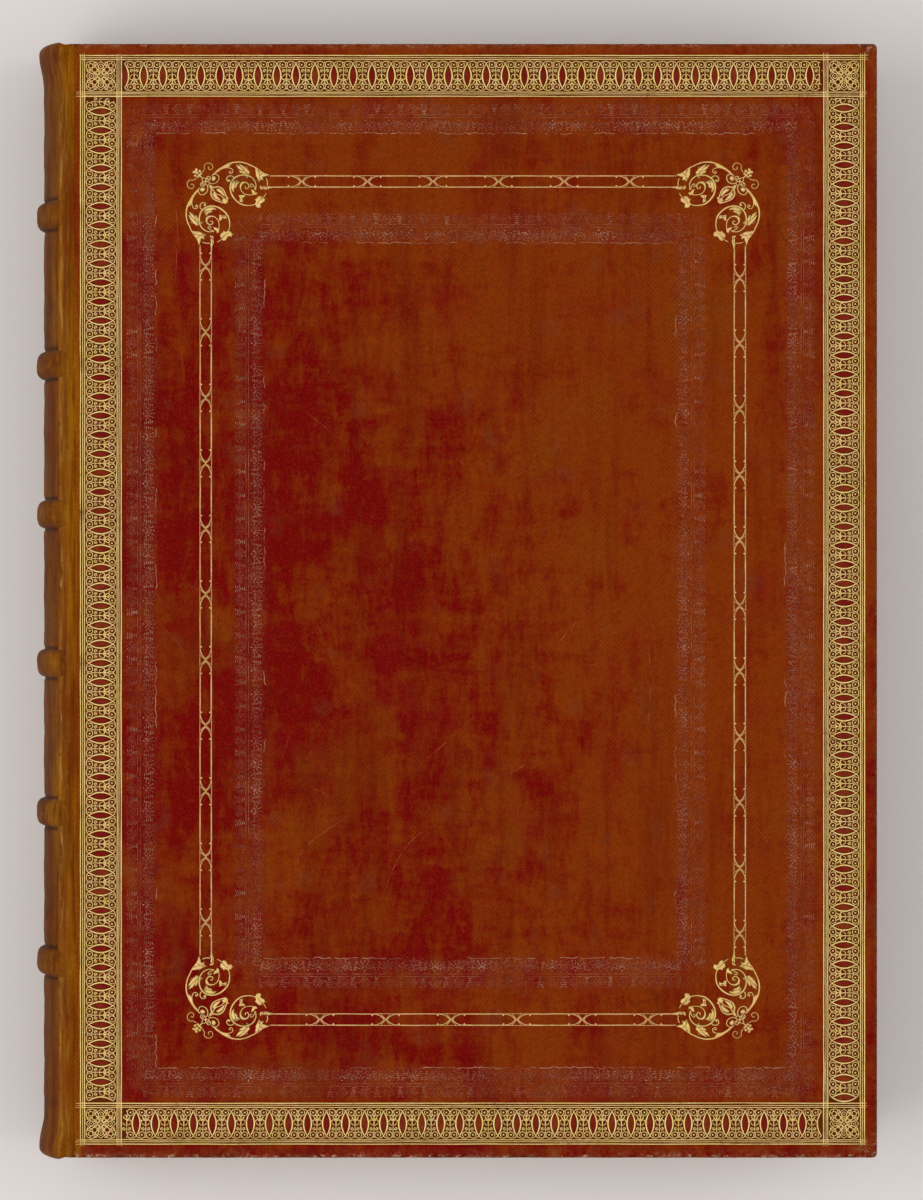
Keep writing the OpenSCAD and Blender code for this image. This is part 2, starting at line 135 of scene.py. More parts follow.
# From the head or the joint corner of the chain panel to the first cross, and from cross to cross
CROSS_PITCH = 23.82
CROSS_START_JOINT, CROSS_START_FORE, CROSS_START_HEAD, CROSS_START_TAIL = 30.9, 35.0, 34.9, 41.5


# ---------------------------------------------------------------- meshes

def make_piece(name, verts, quads, tris, material, weld=False, smooth=True, **attributes):
    """A mesh object from arrays in millimetres."""
    me = bpy.data.meshes.new(name)
    me.vertices.add(len(verts))
    me.vertices.foreach_set("co", (np.asarray(verts) * MM).astype(np.float32).ravel())
    loops = np.concatenate([np.asarray(quads).ravel(), np.asarray(tris).ravel()]).astype(np.int32)
    me.loops.add(len(loops))
    me.loops.foreach_set("vertex_index", loops)
    nq, nt = len(quads), len(tris)
    starts = np.concatenate([np.arange(nq) * 4, nq * 4 + np.arange(nt) * 3]).astype(np.int32)
    me.polygons.add(nq + nt)
    me.polygons.foreach_set("loop_start", starts)
    me.polygons.foreach_set("use_smooth", np.full(nq + nt, smooth))
    me.update(calc_edges=True)
    for key, values in attributes.items():
        layer = me.attributes.new(key, "FLOAT", "POINT")
        layer.data.foreach_set("value", np.asarray(values, np.float32))
    if weld:
        bm = bmesh.new()
        bm.from_mesh(me)
        bmesh.ops.remove_doubles(bm, verts=bm.verts, dist=2e-6)
        bm.to_mesh(me)
        bm.free()
    me.validate()
    me.materials.append(material)
    obj = bpy.data.objects.new(name, me)
    bpy.context.scene.collection.objects.link(obj)
    return obj


def on_side(verts, quads, tris, side):
    """Puts shapes drawn as x, y and height above the outer face of a cover on the upper or the lower one."""
    placed = np.array(verts, float)
    if side == "upper":
        placed[:, 2] += BOOK_T
        return placed, quads, tris
    placed[:, 2] *= -1
    return placed, np.asarray(quads)[:, ::-1], np.asarray(tris)[:, ::-1]


def ring_stack(rings):
    """Quads between closed rings of the same number of points."""
    n = len(rings[0])
    a = np.arange(n)
    b = (a + 1) % n
    first = np.stack([a, a + n, b + n, b], 1)
    return np.concatenate([first + k * n for k in range(len(rings) - 1)])


def end_caps(rings):
    """Triangles that close a stack of rings at its first and its last ring."""
    n, last = len(rings[0]), (len(rings) - 1) * len(rings[0])
    fan = np.arange(1, n - 1)
    return np.concatenate([np.stack([np.zeros(n - 2, int), fan, fan + 1], 1),
                           np.stack([np.full(n - 2, last), last + fan + 1, last + fan], 1)])


def heading(turn):
    """Cosine and sine of an angle in degrees."""
    return math.cos(math.radians(turn)), math.sin(math.radians(turn))


# Steps round a quarter turn, without its start
QUARTER = np.radians([18, 36, 54, 72, 90])


def smooth_step(t):
    """From 0 to 1, without a corner at either end."""
    t = np.clip(t, 0, 1)
    return t * t * (3 - 2 * t)


def bell(t):
    """1 in the middle, and near 0 from 2 on, on either side."""
    return np.exp(-t * t)


# ---------------------------------------------------------------- lines and leaves of the tooling

def curve(points, steps=3):
    """A smooth line through the points."""
    p = np.asarray(points, float)
    p = np.vstack([2 * p[0] - p[1], p, 2 * p[-1] - p[-2]])
    out = []
    for k in range(1, len(p) - 2):
        for t in np.arange(steps) / steps:
            out.append(0.5 * (2 * p[k] + (p[k + 1] - p[k - 1]) * t
                              + (2 * p[k - 1] - 5 * p[k] + 4 * p[k + 1] - p[k + 2]) * t * t
                              + (3 * p[k] - p[k - 1] - 3 * p[k + 1] + p[k + 2]) * t ** 3))
    out.append(p[-2])
    return np.array(out)


def spiral(x, y, r0, r1, start, sweep, steps):
    """A spiral around x, y, from radius r0 at the start angle to radius r1."""
    t = np.linspace(0, 1, steps + 1)
    angle = np.radians(start + sweep * t)
    r = r0 + (r1 - r0) * t ** 0.8
    return np.stack([x + r * np.cos(angle), y + r * np.sin(angle)], 1)


def arc_between(x0, y0, x1, y1, sag, steps):
    """An arc from one point to another, bulging to its right by the sag."""
    t = np.linspace(0, 1, steps + 1)
    a, b = np.array([x0, y0]), np.array([x1, y1])
    along = b - a
    side = np.array([along[1], -along[0]]) / np.linalg.norm(along)
    return a + along * t[:, None] + side * (4 * sag * t * (1 - t))[:, None]


class Ornament:
    """Raised work drawn flat: z runs from the floor, 0, to the crest."""

    def __init__(self):
        self.parts = []

    def add(self, verts, quads, tris):
        self.parts.append((np.asarray(verts, float).reshape(-1, 3), np.asarray(quads, int).reshape(-1, 4),
                           np.asarray(tris, int).reshape(-1, 3)))

    def arrays(self):
        starts = np.cumsum([0] + [len(verts) for verts, _, _ in self.parts[:-1]])
        return (np.concatenate([verts for verts, _, _ in self.parts]),
                np.concatenate([quads + start for (_, quads, _), start in zip(self.parts, starts)]),
                np.concatenate([tris + start for (_, _, tris), start in zip(self.parts, starts)]))

    def between(self, lo, hi):
        """Only the parts that lie between two values of X."""
        kept = Ornament()
        kept.parts = [part for part in self.parts if part[0][:, 0].min() > lo and part[0][:, 0].max() < hi]
        return kept

    def line(self, points, width, crest=0.16, closed=False, mirror=False):
        """A ridge along the points, of one width or a width at each of them."""
        p = np.asarray(points, float)
        n = len(p)
        w = np.broadcast_to(np.asarray(width, float), (n,)) / 2
        if closed:
            tangent = np.roll(p, -1, 0) - np.roll(p, 1, 0)
        else:
            tangent = np.gradient(p, axis=0)
        tangent /= np.maximum(np.linalg.norm(tangent, axis=1), 1e-9)[:, None]
        side = np.stack([-tangent[:, 1], tangent[:, 0]], 1)
        left, right = p + side * w[:, None], p - side * w[:, None]
        h = np.broadcast_to(np.asarray(crest, float), (n,))
        verts = np.stack([np.c_[left, np.zeros(n)], np.c_[p, h], np.c_[right, np.zeros(n)]], 1).reshape(-1, 3)
        a = np.arange(n if closed else n - 1) * 3
        b = (a + 3) % (3 * n)
        quads = np.concatenate([np.stack([a, a + 1, b + 1, b], 1), np.stack([a + 1, a + 2, b + 2, b + 1], 1),
                                np.stack([a + 2, a, b, b + 2], 1)])
        tris = [] if closed else [[0, 2, 1], [3 * n - 3, 3 * n - 2, 3 * n - 1]]
        self.add(verts, quads, tris)
        if mirror:
            self.line(p * [-1, 1], width, crest, closed)

    def leaf(self, outline, crest=0.18):
        """A crowned leaf with the outline."""
        o = np.asarray(outline, float)
        if np.sum(o[:, 0] * np.roll(o[:, 1], -1) - np.roll(o[:, 0], -1) * o[:, 1]) < 0:
            o = o[::-1]
        n = len(o)
        c = o.mean(0)
        inner = c + (o - c) * 0.55
        verts = np.vstack([np.c_[o, np.zeros(n)], np.c_[inner, np.full(n, crest * 0.9)], [[*c, crest]]])
        a = np.arange(n)
        b = (a + 1) % n
        quads = np.stack([a, b, b + n, a + n], 1)
        tris = np.concatenate([np.stack([a + n, b + n, np.full(n, 2 * n)], 1),
                               np.stack([np.zeros(n - 2, int), a[2:], a[1:-1]], 1)])
        self.add(verts, quads, tris)

    def bead(self, x, y, r, crest=0.2, sides=6, mirror=False):
        """A pointed dot."""
        angle = np.arange(sides) * 2 * math.pi / sides
        verts = np.vstack([np.stack([x + r * np.cos(angle), y + r * np.sin(angle), np.zeros(sides)], 1),
                           [[x, y, crest]]])
        a = np.arange(sides)
        tris = np.concatenate([np.stack([a, (a + 1) % sides, np.full(sides, sides)], 1),
                               np.stack([np.zeros(sides - 2, int), a[2:], a[1:-1]], 1)])
        self.add(verts, [], tris)
        if mirror:
            self.bead(-x, y, r, crest, sides)

    def stamp(self, other, places):
        """Repeats another ornament: each place is x, y, turn in degrees and 1 or -1 for mirrored."""
        verts, quads, tris = other.arrays()
        for x, y, turn, flip in places:
            c, s = heading(turn)
            flat = verts[:, :2] * [flip, 1]
            moved = np.stack([x + flat[:, 0] * c - flat[:, 1] * s, y + flat[:, 0] * s + flat[:, 1] * c,
                              verts[:, 2]], 1)
            if flip < 0:
                self.add(moved, quads[:, ::-1], tris[:, ::-1])
            else:
                self.add(moved, quads, tris)

    def stamp_along(self, other, run, at):
        """Puts another ornament at a distance from the middle of a run: its x, y and turn."""
        x, y, turn = run
        c, s = heading(turn)
        self.stamp(other, [(x + at * c, y + at * s, turn, 1)])


# ---------------------------------------------------------------- gilt border

ALMOND_HALF_H = 4.4
ALMOND_SAG = 1.45
# More repeats of the roll than half a side of the border can hold
ROLL_REACH = 40


def almond_side(flip):
    """One side of an almond of the roll, thickest in its middle. U runs along the border, V outwards."""
    unit = Ornament()
    points = arc_between(0, -ALMOND_HALF_H, 0, ALMOND_HALF_H, -ALMOND_SAG * flip, 8)
    unit.line(points, 0.42 + 0.24 * np.sin(np.linspace(0, math.pi, len(points))))
    return unit


def roll_cell():
    """What fills the space between two almonds: four spirals, two curls, a bud and its leaves."""
    unit = Ornament()
    for v in (1, -1):
        lead = curve([(-3.47, 4.35), (-3.0, 4.9), (-2.35, 5.28)], 2)[:-1]
        round_ = spiral(-1.4, 4.05, 1.3, 1.02, 118, -345, 11)
        whole = np.vstack([lead, round_]) * [1, v]
        unit.line(whole, 0.34, mirror=True)
        unit.bead(-1.4, 4.05 * v, 0.42, mirror=True)
    unit.bead(0, 4.9, 0.3)
    unit.bead(0, 3.25, 0.34)
    unit.line([(0, 3.0), (0, 2.1), (0, 1.1)], 0.36)
    unit.line(spiral(1.0, 1.85, 0.55, 0.45, 200, -330, 8), 0.32, mirror=True)
    unit.bead(1.0, 1.85, 0.26, mirror=True)
    unit.line([(0, 1.1), (0, 0), (0, -1.0)], (0.3, 0.5, 0.34), 0.14)
    unit.line(curve([(0.25, 0.55), (0.95, 0.35), (1.35, -0.35)], 2), 0.3, mirror=True)
    unit.line(curve([(0.1, -0.95), (0.85, -1.4), (1.45, -1.2), (1.6, -0.6)], 2), 0.4, mirror=True)
    unit.line(curve([(0.1, -1.45), (0.85, -1.95), (1.2, -2.7)], 2), 0.44, mirror=True)
    unit.line([(0, -1.0), (0, -2.2), (0, -3.4)], 0.38)
    unit.line([(0.05, -2.5), (0.7, -3.2)], 0.36, mirror=True)
    unit.bead(0, -4.6, 0.3)
    return unit


def border_grounds():
    """The dark red leather that shows inside the almonds of the roll."""
    half_h, sag = ALMOND_HALF_H - 0.5, ALMOND_SAG - 0.25
    pad = Ornament()
    pad.leaf(np.vstack([arc_between(0, -half_h, 0, half_h, -sag, 6),
                        arc_between(0, half_h, 0, -half_h, -sag, 6)[1:-1]]), 0.05)
    work = Ornament()
    for run, half, almond in border_runs():
        for k in range(-ROLL_REACH, ROLL_REACH):
            u = almond % ROLL_PITCH + k * ROLL_PITCH
            if abs(u) < half - 0.8:
                work.stamp_along(pad, run, u)
    return work


def lace_leaf():
    """A pointed leaf of the corner lace, drawn along U from the middle of the lace."""
    diagonal = Ornament()
    half = curve([(0.7, 0), (1.9, 0.75), (3.0, 1.75), (4.6, 2.0), (6.1, 1.45), (7.0, 0)])
    diagonal.line(half, 0.32)
    diagonal.line(half * [1, -1], 0.32)
    diagonal.line(spiral(5.15, 0, 0.85, 0.85, 0, 360, 10)[:-1], 0.34, closed=True)
    diagonal.line(spiral(3.2, 0, 0.95, 0.95, 0, 360, 10)[:-1], 0.34, closed=True)
    for s in (1, -1):
        diagonal.line([(4.15, 0.75 * s), (4.3, 1.75 * s)], 0.28)
        diagonal.line([(5.9, 0.4 * s), (6.5, 0.9 * s)], 0.28)
        diagonal.line([(2.3, 0.45 * s), (2.3, 1.1 * s)], 0.28)
    diagonal.line([(4.0, 0), (4.4, 0)], 0.34)
    return diagonal


def lace_knot():
    """A knot of the corner lace, drawn along V from the middle of the lace."""
    axial = Ornament()
    half = curve([(0.35, 1.0), (0.55, 2.0), (1.55, 2.75), (1.9, 3.5), (1.1, 4.4), (0, 5.3)])
    axial.line(half, 0.3, mirror=True)
    axial.line(curve([(0, 4.35), (0.75, 3.75), (0.9, 3.1), (0, 2.5)]), 0.3, mirror=True)
    axial.bead(0, 3.4, 0.3)
    axial.line([(0, 2.5), (0, 0.9)], 0.28)
    axial.line(curve([(1.9, 3.5), (2.5, 4.1), (2.2, 4.9), (1.3, 4.9)]), 0.34, mirror=True)
    axial.line([(0.75, 1.45), (1.5, 1.9)], 0.3, mirror=True)
    return axial


def corner_lace():
    """The square in a corner of the border: pointed leaves on its diagonals, knots on its axes."""
    unit = Ornament()
    unit.stamp(lace_leaf(), [(0, 0, turn, 1) for turn in (45, 135, 225, 315)])
    unit.stamp(lace_knot(), [(0, 0, turn, 1) for turn in (0, 90, 180, 270)])
    unit.line(spiral(0, 0, 1.05, 1.05, 0, 360, 12)[:-1], 0.3, closed=True)
    unit.bead(0, 0, 0.28)
    for turn in range(45, 360, 90):
        c, s = heading(turn)
        unit.line([(0.3 * c, 0.3 * s), (0.95 * c, 0.95 * s)], 0.3)
    return unit


def border_runs():
    """Each side of the border: its run, its half length without the lace, and where one almond lies."""
    x0, y0, x1, y1 = BORDER
    lace = BORDER_W / 2
    mid_x, mid_y = (x0 + x1) / 2, (y0 + y1) / 2
    half_x, half_y = (x1 - x0) / 2 - BORDER_W, (y1 - y0) / 2 - BORDER_W
    return [((mid_x, y1 - lace, 0), half_x, ALMOND_HEAD - mid_x),
            ((mid_x, y0 + lace, 180), half_x, mid_x - ALMOND_TAIL),
            ((x0 + lace, mid_y, 90), half_y, ALMOND_JOINT - mid_y),
            ((x1 - lace, mid_y, 270), half_y, mid_y - ALMOND_FORE)]


def border_gilding():
    """The gilt roll, the lace in its corners and the fillets on both sides of it."""
    work = Ornament()
    x0, y0, x1, y1 = BORDER
    lace = BORDER_W / 2
    corners = [(x0 + lace, y0 + lace), (x1 - lace, y0 + lace), (x1 - lace, y1 - lace), (x0 + lace, y1 - lace)]
    work.stamp(corner_lace(), [(x, y, 0, 1) for x, y in corners])
    cell, left, right = roll_cell(), almond_side(1), almond_side(-1)
    for run, half, almond in border_runs():
        for k in range(-ROLL_REACH, ROLL_REACH):
            u = almond % ROLL_PITCH + k * ROLL_PITCH
            for unit, at in ((left, u), (right, u), (cell, u + ROLL_PITCH / 2)):
                if abs(at) > half + ROLL_PITCH / 2:
                    continue
                fitting = unit if abs(at) < half - ROLL_PITCH / 2 else unit.between(-half - at, half - at)
                if fitting.parts:
                    work.stamp_along(fitting, run, at)
    fillet_lines(work)
    return work


def wavering(x0, y0, x1, y1, step=9.0, sway=0.045):
    """A hand-drawn straight line: it sways a little along its length."""
    n = max(3, int(math.hypot(x1 - x0, y1 - y0) / step) + 1)
    t = np.linspace(0, 1, n)
    along = np.array([x1 - x0, y1 - y0])
    side = np.array([-along[1], along[0]]) / np.linalg.norm(along)
    sway_at = rng.normal(0, sway, n)
    sway_at[[0, -1]] = 0
    return np.array([x0, y0]) + along * t[:, None] + side * sway_at[:, None]


# Lines of a fillet: distance from the edge of the border, and width
FILLET = ((0.27, 0.56), (1.12, 0.34), (1.8, 0.42))


def fillet_lines(work):
    """Three lines on each side of the roll, all round the border."""
    x0, y0, x1, y1 = BORDER
    for offset, width in FILLET:
        for d in (offset, BORDER_W - offset):
            for y in (y0 + d, y1 - d):
                line = wavering(x0, y, x1, y)
                work.line(line, width * rng.uniform(0.85, 1.12, len(line)), 0.19)
            for x in (x0 + d, x1 - d):
                line = wavering(x, y0, x, y1)
                work.line(line, width * rng.uniform(0.85, 1.12, len(line)), 0.185)


def overruns(work):
    """Where the fillets ran on past the corners of the border: most by the joint, a little elsewhere."""
    x0, y0, x1, y1 = BORDER
    for offset, width in FILLET:
        for d in (offset, BORDER_W - offset):
            for y in (y0 + d, y1 - d):
                if y < y1 - BORDER_W / 2:
                    work.line([(x0 - rng.uniform(1.2, 1.9), y), (x0 + 0.2, y)], (0.16, width))
                work.line([(x1 - 0.2, y), (x1 + rng.uniform(0.3, 1.1), y)], (width, 0.1))
            for x in (x0 + d, x1 - d):
                work.line([(x, y0 - rng.uniform(0.2, 0.7)), (x, y0 + 0.2)], (0.1, width))
                work.line([(x, y1 - 0.2), (x, y1 + rng.uniform(0.3, 0.9))], (width, 0.1))


# ---------------------------------------------------------------- chain panel and its corner pieces

def chain_cross():
    """A crossing of the two lines of the chain, between two straight outer lines. U runs along the chain."""
    unit = Ornament()
    a = CHAIN_HALF
    for u in (1, -1):
        for v in (1, -1):
            arch = curve([(4.2, 0.97 * a), (3.1, 0.9 * a), (2.1, 0.7 * a), (1.2, 0.4 * a), (0.4, -0.06 * a)])
            unit.line(arch * [u, v], 0.44, 0.15)
            unit.leaf(np.array([(4.25, a - 0.1), (4.85, a - 0.95), (5.45, a - 0.1)]) * [u, v], 0.17)
        unit.line([(-1.75 * u, -a), (0, 0), (1.75 * u, a)], 0.34, 0.14)
        unit.line([(-4.3, 1.04 * a * u), (0, 1.04 * a * u), (4.3, 1.04 * a * u)], 0.3, 0.13)
    return unit


# Half the length of a crossing, and how far a corner piece reaches along the chain
CROSS_REACH = 4.2
CORNER_REACH = 23.2
CROSSES_DOWN, CROSSES_ALONG = 11, 6


def chain_gilding():
    """The chain on the four sides of its panel: crossings, and pairs of lines between them."""
    work = Ornament()
    cross = chain_cross()
    x0, y0, x1, y1 = CHAIN
    down, along = -CROSS_PITCH * np.arange(CROSSES_DOWN), CROSS_PITCH * np.arange(CROSSES_ALONG)
    for at, fixed, turn, lo, hi in ((y1 - CROSS_START_JOINT + down, x0, 90, y0, y1),
                                    (y1 - CROSS_START_FORE + down, x1, 90, y0, y1),
                                    (x0 + CROSS_START_HEAD + along, y1, 0, x0, x1),
                                    (x0 + CROSS_START_TAIL + along, y0, 0, x0, x1)):
        for p in at:
            work.stamp(cross, [(fixed, p, 90, 1) if turn else (p, fixed, 0, 1)])
        stops = [lo + CORNER_REACH] + sorted(at) + [hi - CORNER_REACH]
        for k in range(len(stops) - 1):
            a = stops[k] + (CROSS_REACH if k else 0)
            b = stops[k + 1] - (CROSS_REACH if k < len(stops) - 2 else 0)
            if b - a < 0.5:
                continue
            for s in (-CHAIN_HALF, CHAIN_HALF):
                ends = (fixed + s, a, fixed + s, b) if turn else (a, fixed + s, b, fixed + s)
                line = wavering(*ends, step=5.0, sway=0.03)
                work.line(line, 0.62 * rng.uniform(0.8, 1.1, len(line)), 0.15)
    return work


def swelling(line, shares, widths):
    """Widths along a line that passes through the given widths at shares of its length."""
    return np.interp(np.linspace(0, 1, len(line)), shares, widths)


def volute_sweep(half):
    """The outer sweep, its hooked branch, the wedge between them and two leaves below."""
    sweep = curve([(2.2, 2.0), (4.2, 3.95), (6.35, 5.4), (8.45, 6.45), (10.5, 7.0), (12.6, 7.05), (14.7, 6.6),
                   (16.4, 5.85), (18.0, 5.1), (19.6, 4.0), (21.0, 3.0), (22.9, 2.35)])
    half.line(sweep, swelling(sweep, (0, 0.3, 0.5, 1), (0.5, 0.85, 0.7, 0.5)))
    half.line(curve([(3.0, 2.5), (4.3, 3.6), (6.2, 4.75), (8.2, 5.0), (9.7, 4.4), (9.75, 3.3), (8.9, 2.9),
                     (8.4, 3.5)]), 0.46)
    half.bead(8.95, 3.6, 0.45)
    half.leaf([(4.2, 3.7), (5.6, 4.9), (7.6, 6.0), (9.8, 6.6), (8.9, 5.5), (7.6, 4.95), (5.8, 4.4)], 0.15)
    half.leaf([(10.4, 6.5), (12.2, 6.7), (13.9, 6.3), (15.3, 5.4), (15.6, 4.2), (16.6, 3.2), (15.7, 2.2),
               (15.0, 0.9), (15.0, 2.1), (13.6, 2.5), (12.1, 3.2), (11.6, 4.5)])
    half.leaf([(17.5, 5.5), (19.2, 4.8), (20.6, 3.5), (21.8, 2.95), (23.1, 2.3), (21.6, 1.8), (20.6, 1.5),
               (21.1, 0.4), (19.9, 0.5), (19.4, -0.3), (18.9, 0.7), (18.4, 2.1), (17.8, 3.1)])


def volute_loop(half):
    """The loop of the volute, thick where it turns back under the leaves, and the leaves that grow on it."""
    half.line(curve([(22.0, 1.2), (22.45, -0.2), (22.35, -1.6)]), 0.42)
    loop = curve([(22.0, -4.2), (20.9, -5.9), (19.0, -7.7), (16.9, -8.6), (14.6, -8.65), (12.4, -8.0),
                  (10.5, -6.3), (9.3, -4.3), (8.9, -2.2), (9.3, -0.2), (10.4, 1.2), (12.0, 2.1), (13.9, 2.35),
                  (15.9, 1.95), (17.4, 0.8), (18.25, -1.0), (18.1, -3.1)])
    half.line(loop, swelling(loop, (0, 0.2, 0.36, 0.55, 1), (0.4, 0.5, 0.95, 0.7, 0.42)))
    half.leaf([(10.8, 0.7), (12.7, -0.2), (11.8, -0.8), (11.3, -2.0), (10.4, -2.9), (10.1, -4.5), (9.3, -3.4),
               (9.1, -1.5), (9.7, 0.1)])
    half.leaf([(11.7, -4.8), (13.2, -4.7), (14.7, -4.7), (14.1, -5.8), (13.4, -5.7), (13.2, -6.4),
               (13.7, -8.0), (12.1, -7.6), (12.3, -6.0)])
    half.leaf([(19.2, -4.8), (20.9, -5.1), (22.0, -6.2), (21.7, -7.2), (20.6, -7.8), (19.9, -8.7),
               (20.3, -9.7), (19.2, -10.1), (18.2, -9.7), (17.5, -8.3), (18.2, -7.1), (17.5, -6.4),
               (18.3, -5.8)])
    half.leaf([(16.3, -2.5), (17.4, -3.0), (18.3, -4.2), (19.1, -4.0), (18.5, -5.0), (17.1, -5.0),
               (16.6, -3.8)])


def volute_heart(half):
    """Hooks, the inner spiral and the tie to the inner line of the chain."""
    half.line(curve([(10.4, 1.2), (9.6, 1.95), (8.4, 1.95), (7.65, 1.1), (8.0, 0.1), (9.0, 0.2)]), 0.46)
    half.bead(8.5, 0.4, 0.5)
    inner = curve([(18.6, -4.4), (16.9, -4.85), (14.6, -4.7), (13.1, -3.6), (12.6, -1.9), (13.3, -0.5),
                   (14.8, -0.4), (15.7, -1.5), (15.2, -2.6), (14.4, -2.3), (14.5, -1.6)])
    half.line(inner, swelling(inner, (0, 0.35, 0.5, 0.6, 1), (0.42, 0.5, 1.1, 0.6, 0.36)))
    half.line(curve([(18.0, -3.2), (17.6, -1.8), (16.6, -0.8), (16.2, -1.7), (17.0, -1.9)]), 0.4)
    half.line(curve([(19.9, -1.5), (20.2, -2.6), (21.6, -2.35), (24.5, -2.05)]), 0.66)
    half.leaf([(20.0, -2.1), (21.0, -1.7), (22.2, -1.9), (23.3, -1.5), (23.5, -2.4), (22.4, -3.0),
               (21.0, -3.0)])


def volute_knot(half):
    """The knot by the corner, with its tendril and beads."""
    half.line(curve([(3.3, 2.75), (4.5, 2.2), (4.8, 1.0), (4.0, -0.3), (2.5, -0.8), (1.4, -0.5)]), 0.42)
    half.leaf([(2.2, 1.8), (3.3, 2.1), (3.8, 1.1), (3.1, 0.2), (2.2, 0.3)])
    half.line(curve([(-1.2, 3.3), (-0.5, 4.5), (-0.5, 5.8), (0.6, 6.7), (2.0, 6.4), (2.6, 5.3), (2.0, 4.3),
                     (1.0, 4.6), (1.1, 5.4)]), 0.36)
    half.line(spiral(1.1, 1.2, 0.72, 0.72, 0, 360, 9)[:-1], 0.4, closed=True)
    half.bead(-2.2, 3.9, 0.62)
    half.bead(-3.5, 4.0, 0.7)
    half.bead(-1.7, 2.9, 0.6)


def corner_piece():
    """Half of a corner piece: the volute on the arm that runs along U, with its leaves and tendrils."""
    half = Ornament()
    for draw in (volute_sweep, volute_loop, volute_heart, volute_knot):
        draw(half)
    return half


# Veins cut into the leaves of a corner piece
VEINS = (
    ((11.5, 6.2), (12.9, 5.2), (14.3, 3.7), (15.2, 2.6)), ((12.7, 6.4), (14.0, 5.6), (15.0, 4.6)),
    ((12.0, 4.4), (13.2, 3.8), (14.3, 3.7)), ((19.0, 4.3), (19.6, 2.7), (19.5, 0.8)),
    ((20.6, 3.0), (19.9, 2.4), (19.6, 2.0)), ((20.9, -5.7), (19.6, -6.8), (18.7, -8.2)),
    ((10.9, 0.1), (10.7, -1.4), (10.1, -3.2)), ((12.9, -5.4), (12.7, -7.0)), ((20.6, -2.4), (22.6, -2.4)),
)


def corner_bud():
    """What lies on the diagonal of a corner piece, drawn with the diagonal along U."""
    unit = Ornament()
    for s in (1, -1):
        unit.line(curve([(2.0, 0.15 * s), (3.4, 0.4 * s), (4.6, 1.9 * s), (6.6, 2.4 * s), (8.8, 1.6 * s),
                         (10.9, 0.35 * s)]), 0.66)
        unit.leaf([(4.3, 0.35 * s), (5.0, 1.7 * s), (6.8, 2.1 * s), (8.6, 1.4 * s), (9.4, 0.9 * s),
                   (6.8, 0.75 * s)], 0.17)
    unit.line(curve([(3.2, 0), (5.6, -0.5), (7.8, 0.35), (10.4, 0)]), 0.5)
    unit.leaf([(8.8, 0.8), (10.6, 0.8), (11.3, 0), (10.6, -0.8), (8.8, -0.8)])
    unit.bead(9.9, 1.35, 0.6)
    for turn in range(0, 360, 90):
        c, s = heading(turn)
        unit.line(spiral(0.95 * c, 0.95 * s, 0.7, 0.7, turn, 360, 9)[:-1], 0.36, closed=True)
    unit.bead(0, 0, 0.42)
    unit.bead(-4.5, 0, 0.95, sides=9)
    for turn in range(0, 360, 72):
        c, s = heading(turn)
        unit.bead(-4.5 + 1.2 * c, 1.2 * s, 0.72)
    unit.line([(-3.6, 0), (-1.6, 0)], 0.6)
    return unit


def at_corners(half, middle=None):
    """A half piece mirrored on the diagonal, placed at all four corners of the chain panel."""
    whole, work = Ornament(), Ornament()
    whole.stamp(half, [(0, 0, 0, 1), (0, 0, 90, -1)])
    if middle:
        whole.stamp(middle, [(0, 0, -45, 1)])
    x0, y0, x1, y1 = CHAIN
    work.stamp(whole, [(x0, y1, 0, 1), (x1, y1, 0, -1), (x1, y0, 180, 1), (x0, y0, 180, -1)])
    return work


def corner_gilding():
    """The four corner pieces. The overruns of the border are on the face too, so they go with them."""
    work = at_corners(corner_piece(), corner_bud())
    overruns(work)
    return work


def corner_veins():
    """Fine dark lines on the leaves of the corner pieces."""
    half = Ornament()
    for vein in VEINS:
        half.line(curve(vein), 0.4, 0.08)
    return at_corners(half)


# ---------------------------------------------------------------- blind tooling

BLIND_PITCH = 8.5
DOT_STEP = 0.52


def blind_dots(unit):
    """A lozenge of fine dots, in the outer row of the blind roll."""
    for i in range(-6, 7):
        for j in range(-3, 4):
            u, v = i * DOT_STEP, j * DOT_STEP
            if (i + j) % 2 == 0 and abs(u) / 3.4 + abs(v) / 2.0 < 1:
                unit.bead(u, v - 3.6, 0.22, 0.08, 4)


def blind_palmette(unit):
    """Short dashes spread like a fan, in the inner row of the blind roll."""
    for turn in range(-78, 79, 26):
        c, s = heading(turn)
        for near, far in ((0.7, 1.5), (1.8, 2.6), (2.9, 3.5)):
            unit.line([(near * s, 1.2 + near * c), (far * s + 0.12 * c, 1.2 + far * c)], 0.32, 0.09)
    for k in range(5):
        slant, v = 0.12 * k, 0.7 * k
        unit.line([(-3.9 + slant, 1.0 + v), (-3.1 + slant, 1.3 + v)], 0.3, 0.08)
        unit.line([(3.2 - slant, 1.3 + v), (4.0 - slant, 1.0 + v)], 0.3, 0.08)
    unit.bead(0, 0.7, 0.4, 0.09)


def blind_unit():
    """One repeat of the blind roll, in low relief. U runs along the frame, V inwards."""
    unit = Ornament()
    blind_dots(unit)
    for k in range(5):
        unit.line([(3.0 + 0.2 * k, -5.3 + 0.8 * k), (4.1 + 0.2 * k, -4.9 + 0.8 * k)], 0.26, 0.08, mirror=True)
    # Two fine lines between the rows
    unit.line([(-4.2, -1.3), (0, -1.42), (4.2, -1.3)], 0.16, 0.06)
    unit.line([(-4.2, -0.5), (0, -0.4), (4.2, -0.5)], 0.16, 0.06)
    blind_palmette(unit)
    return unit


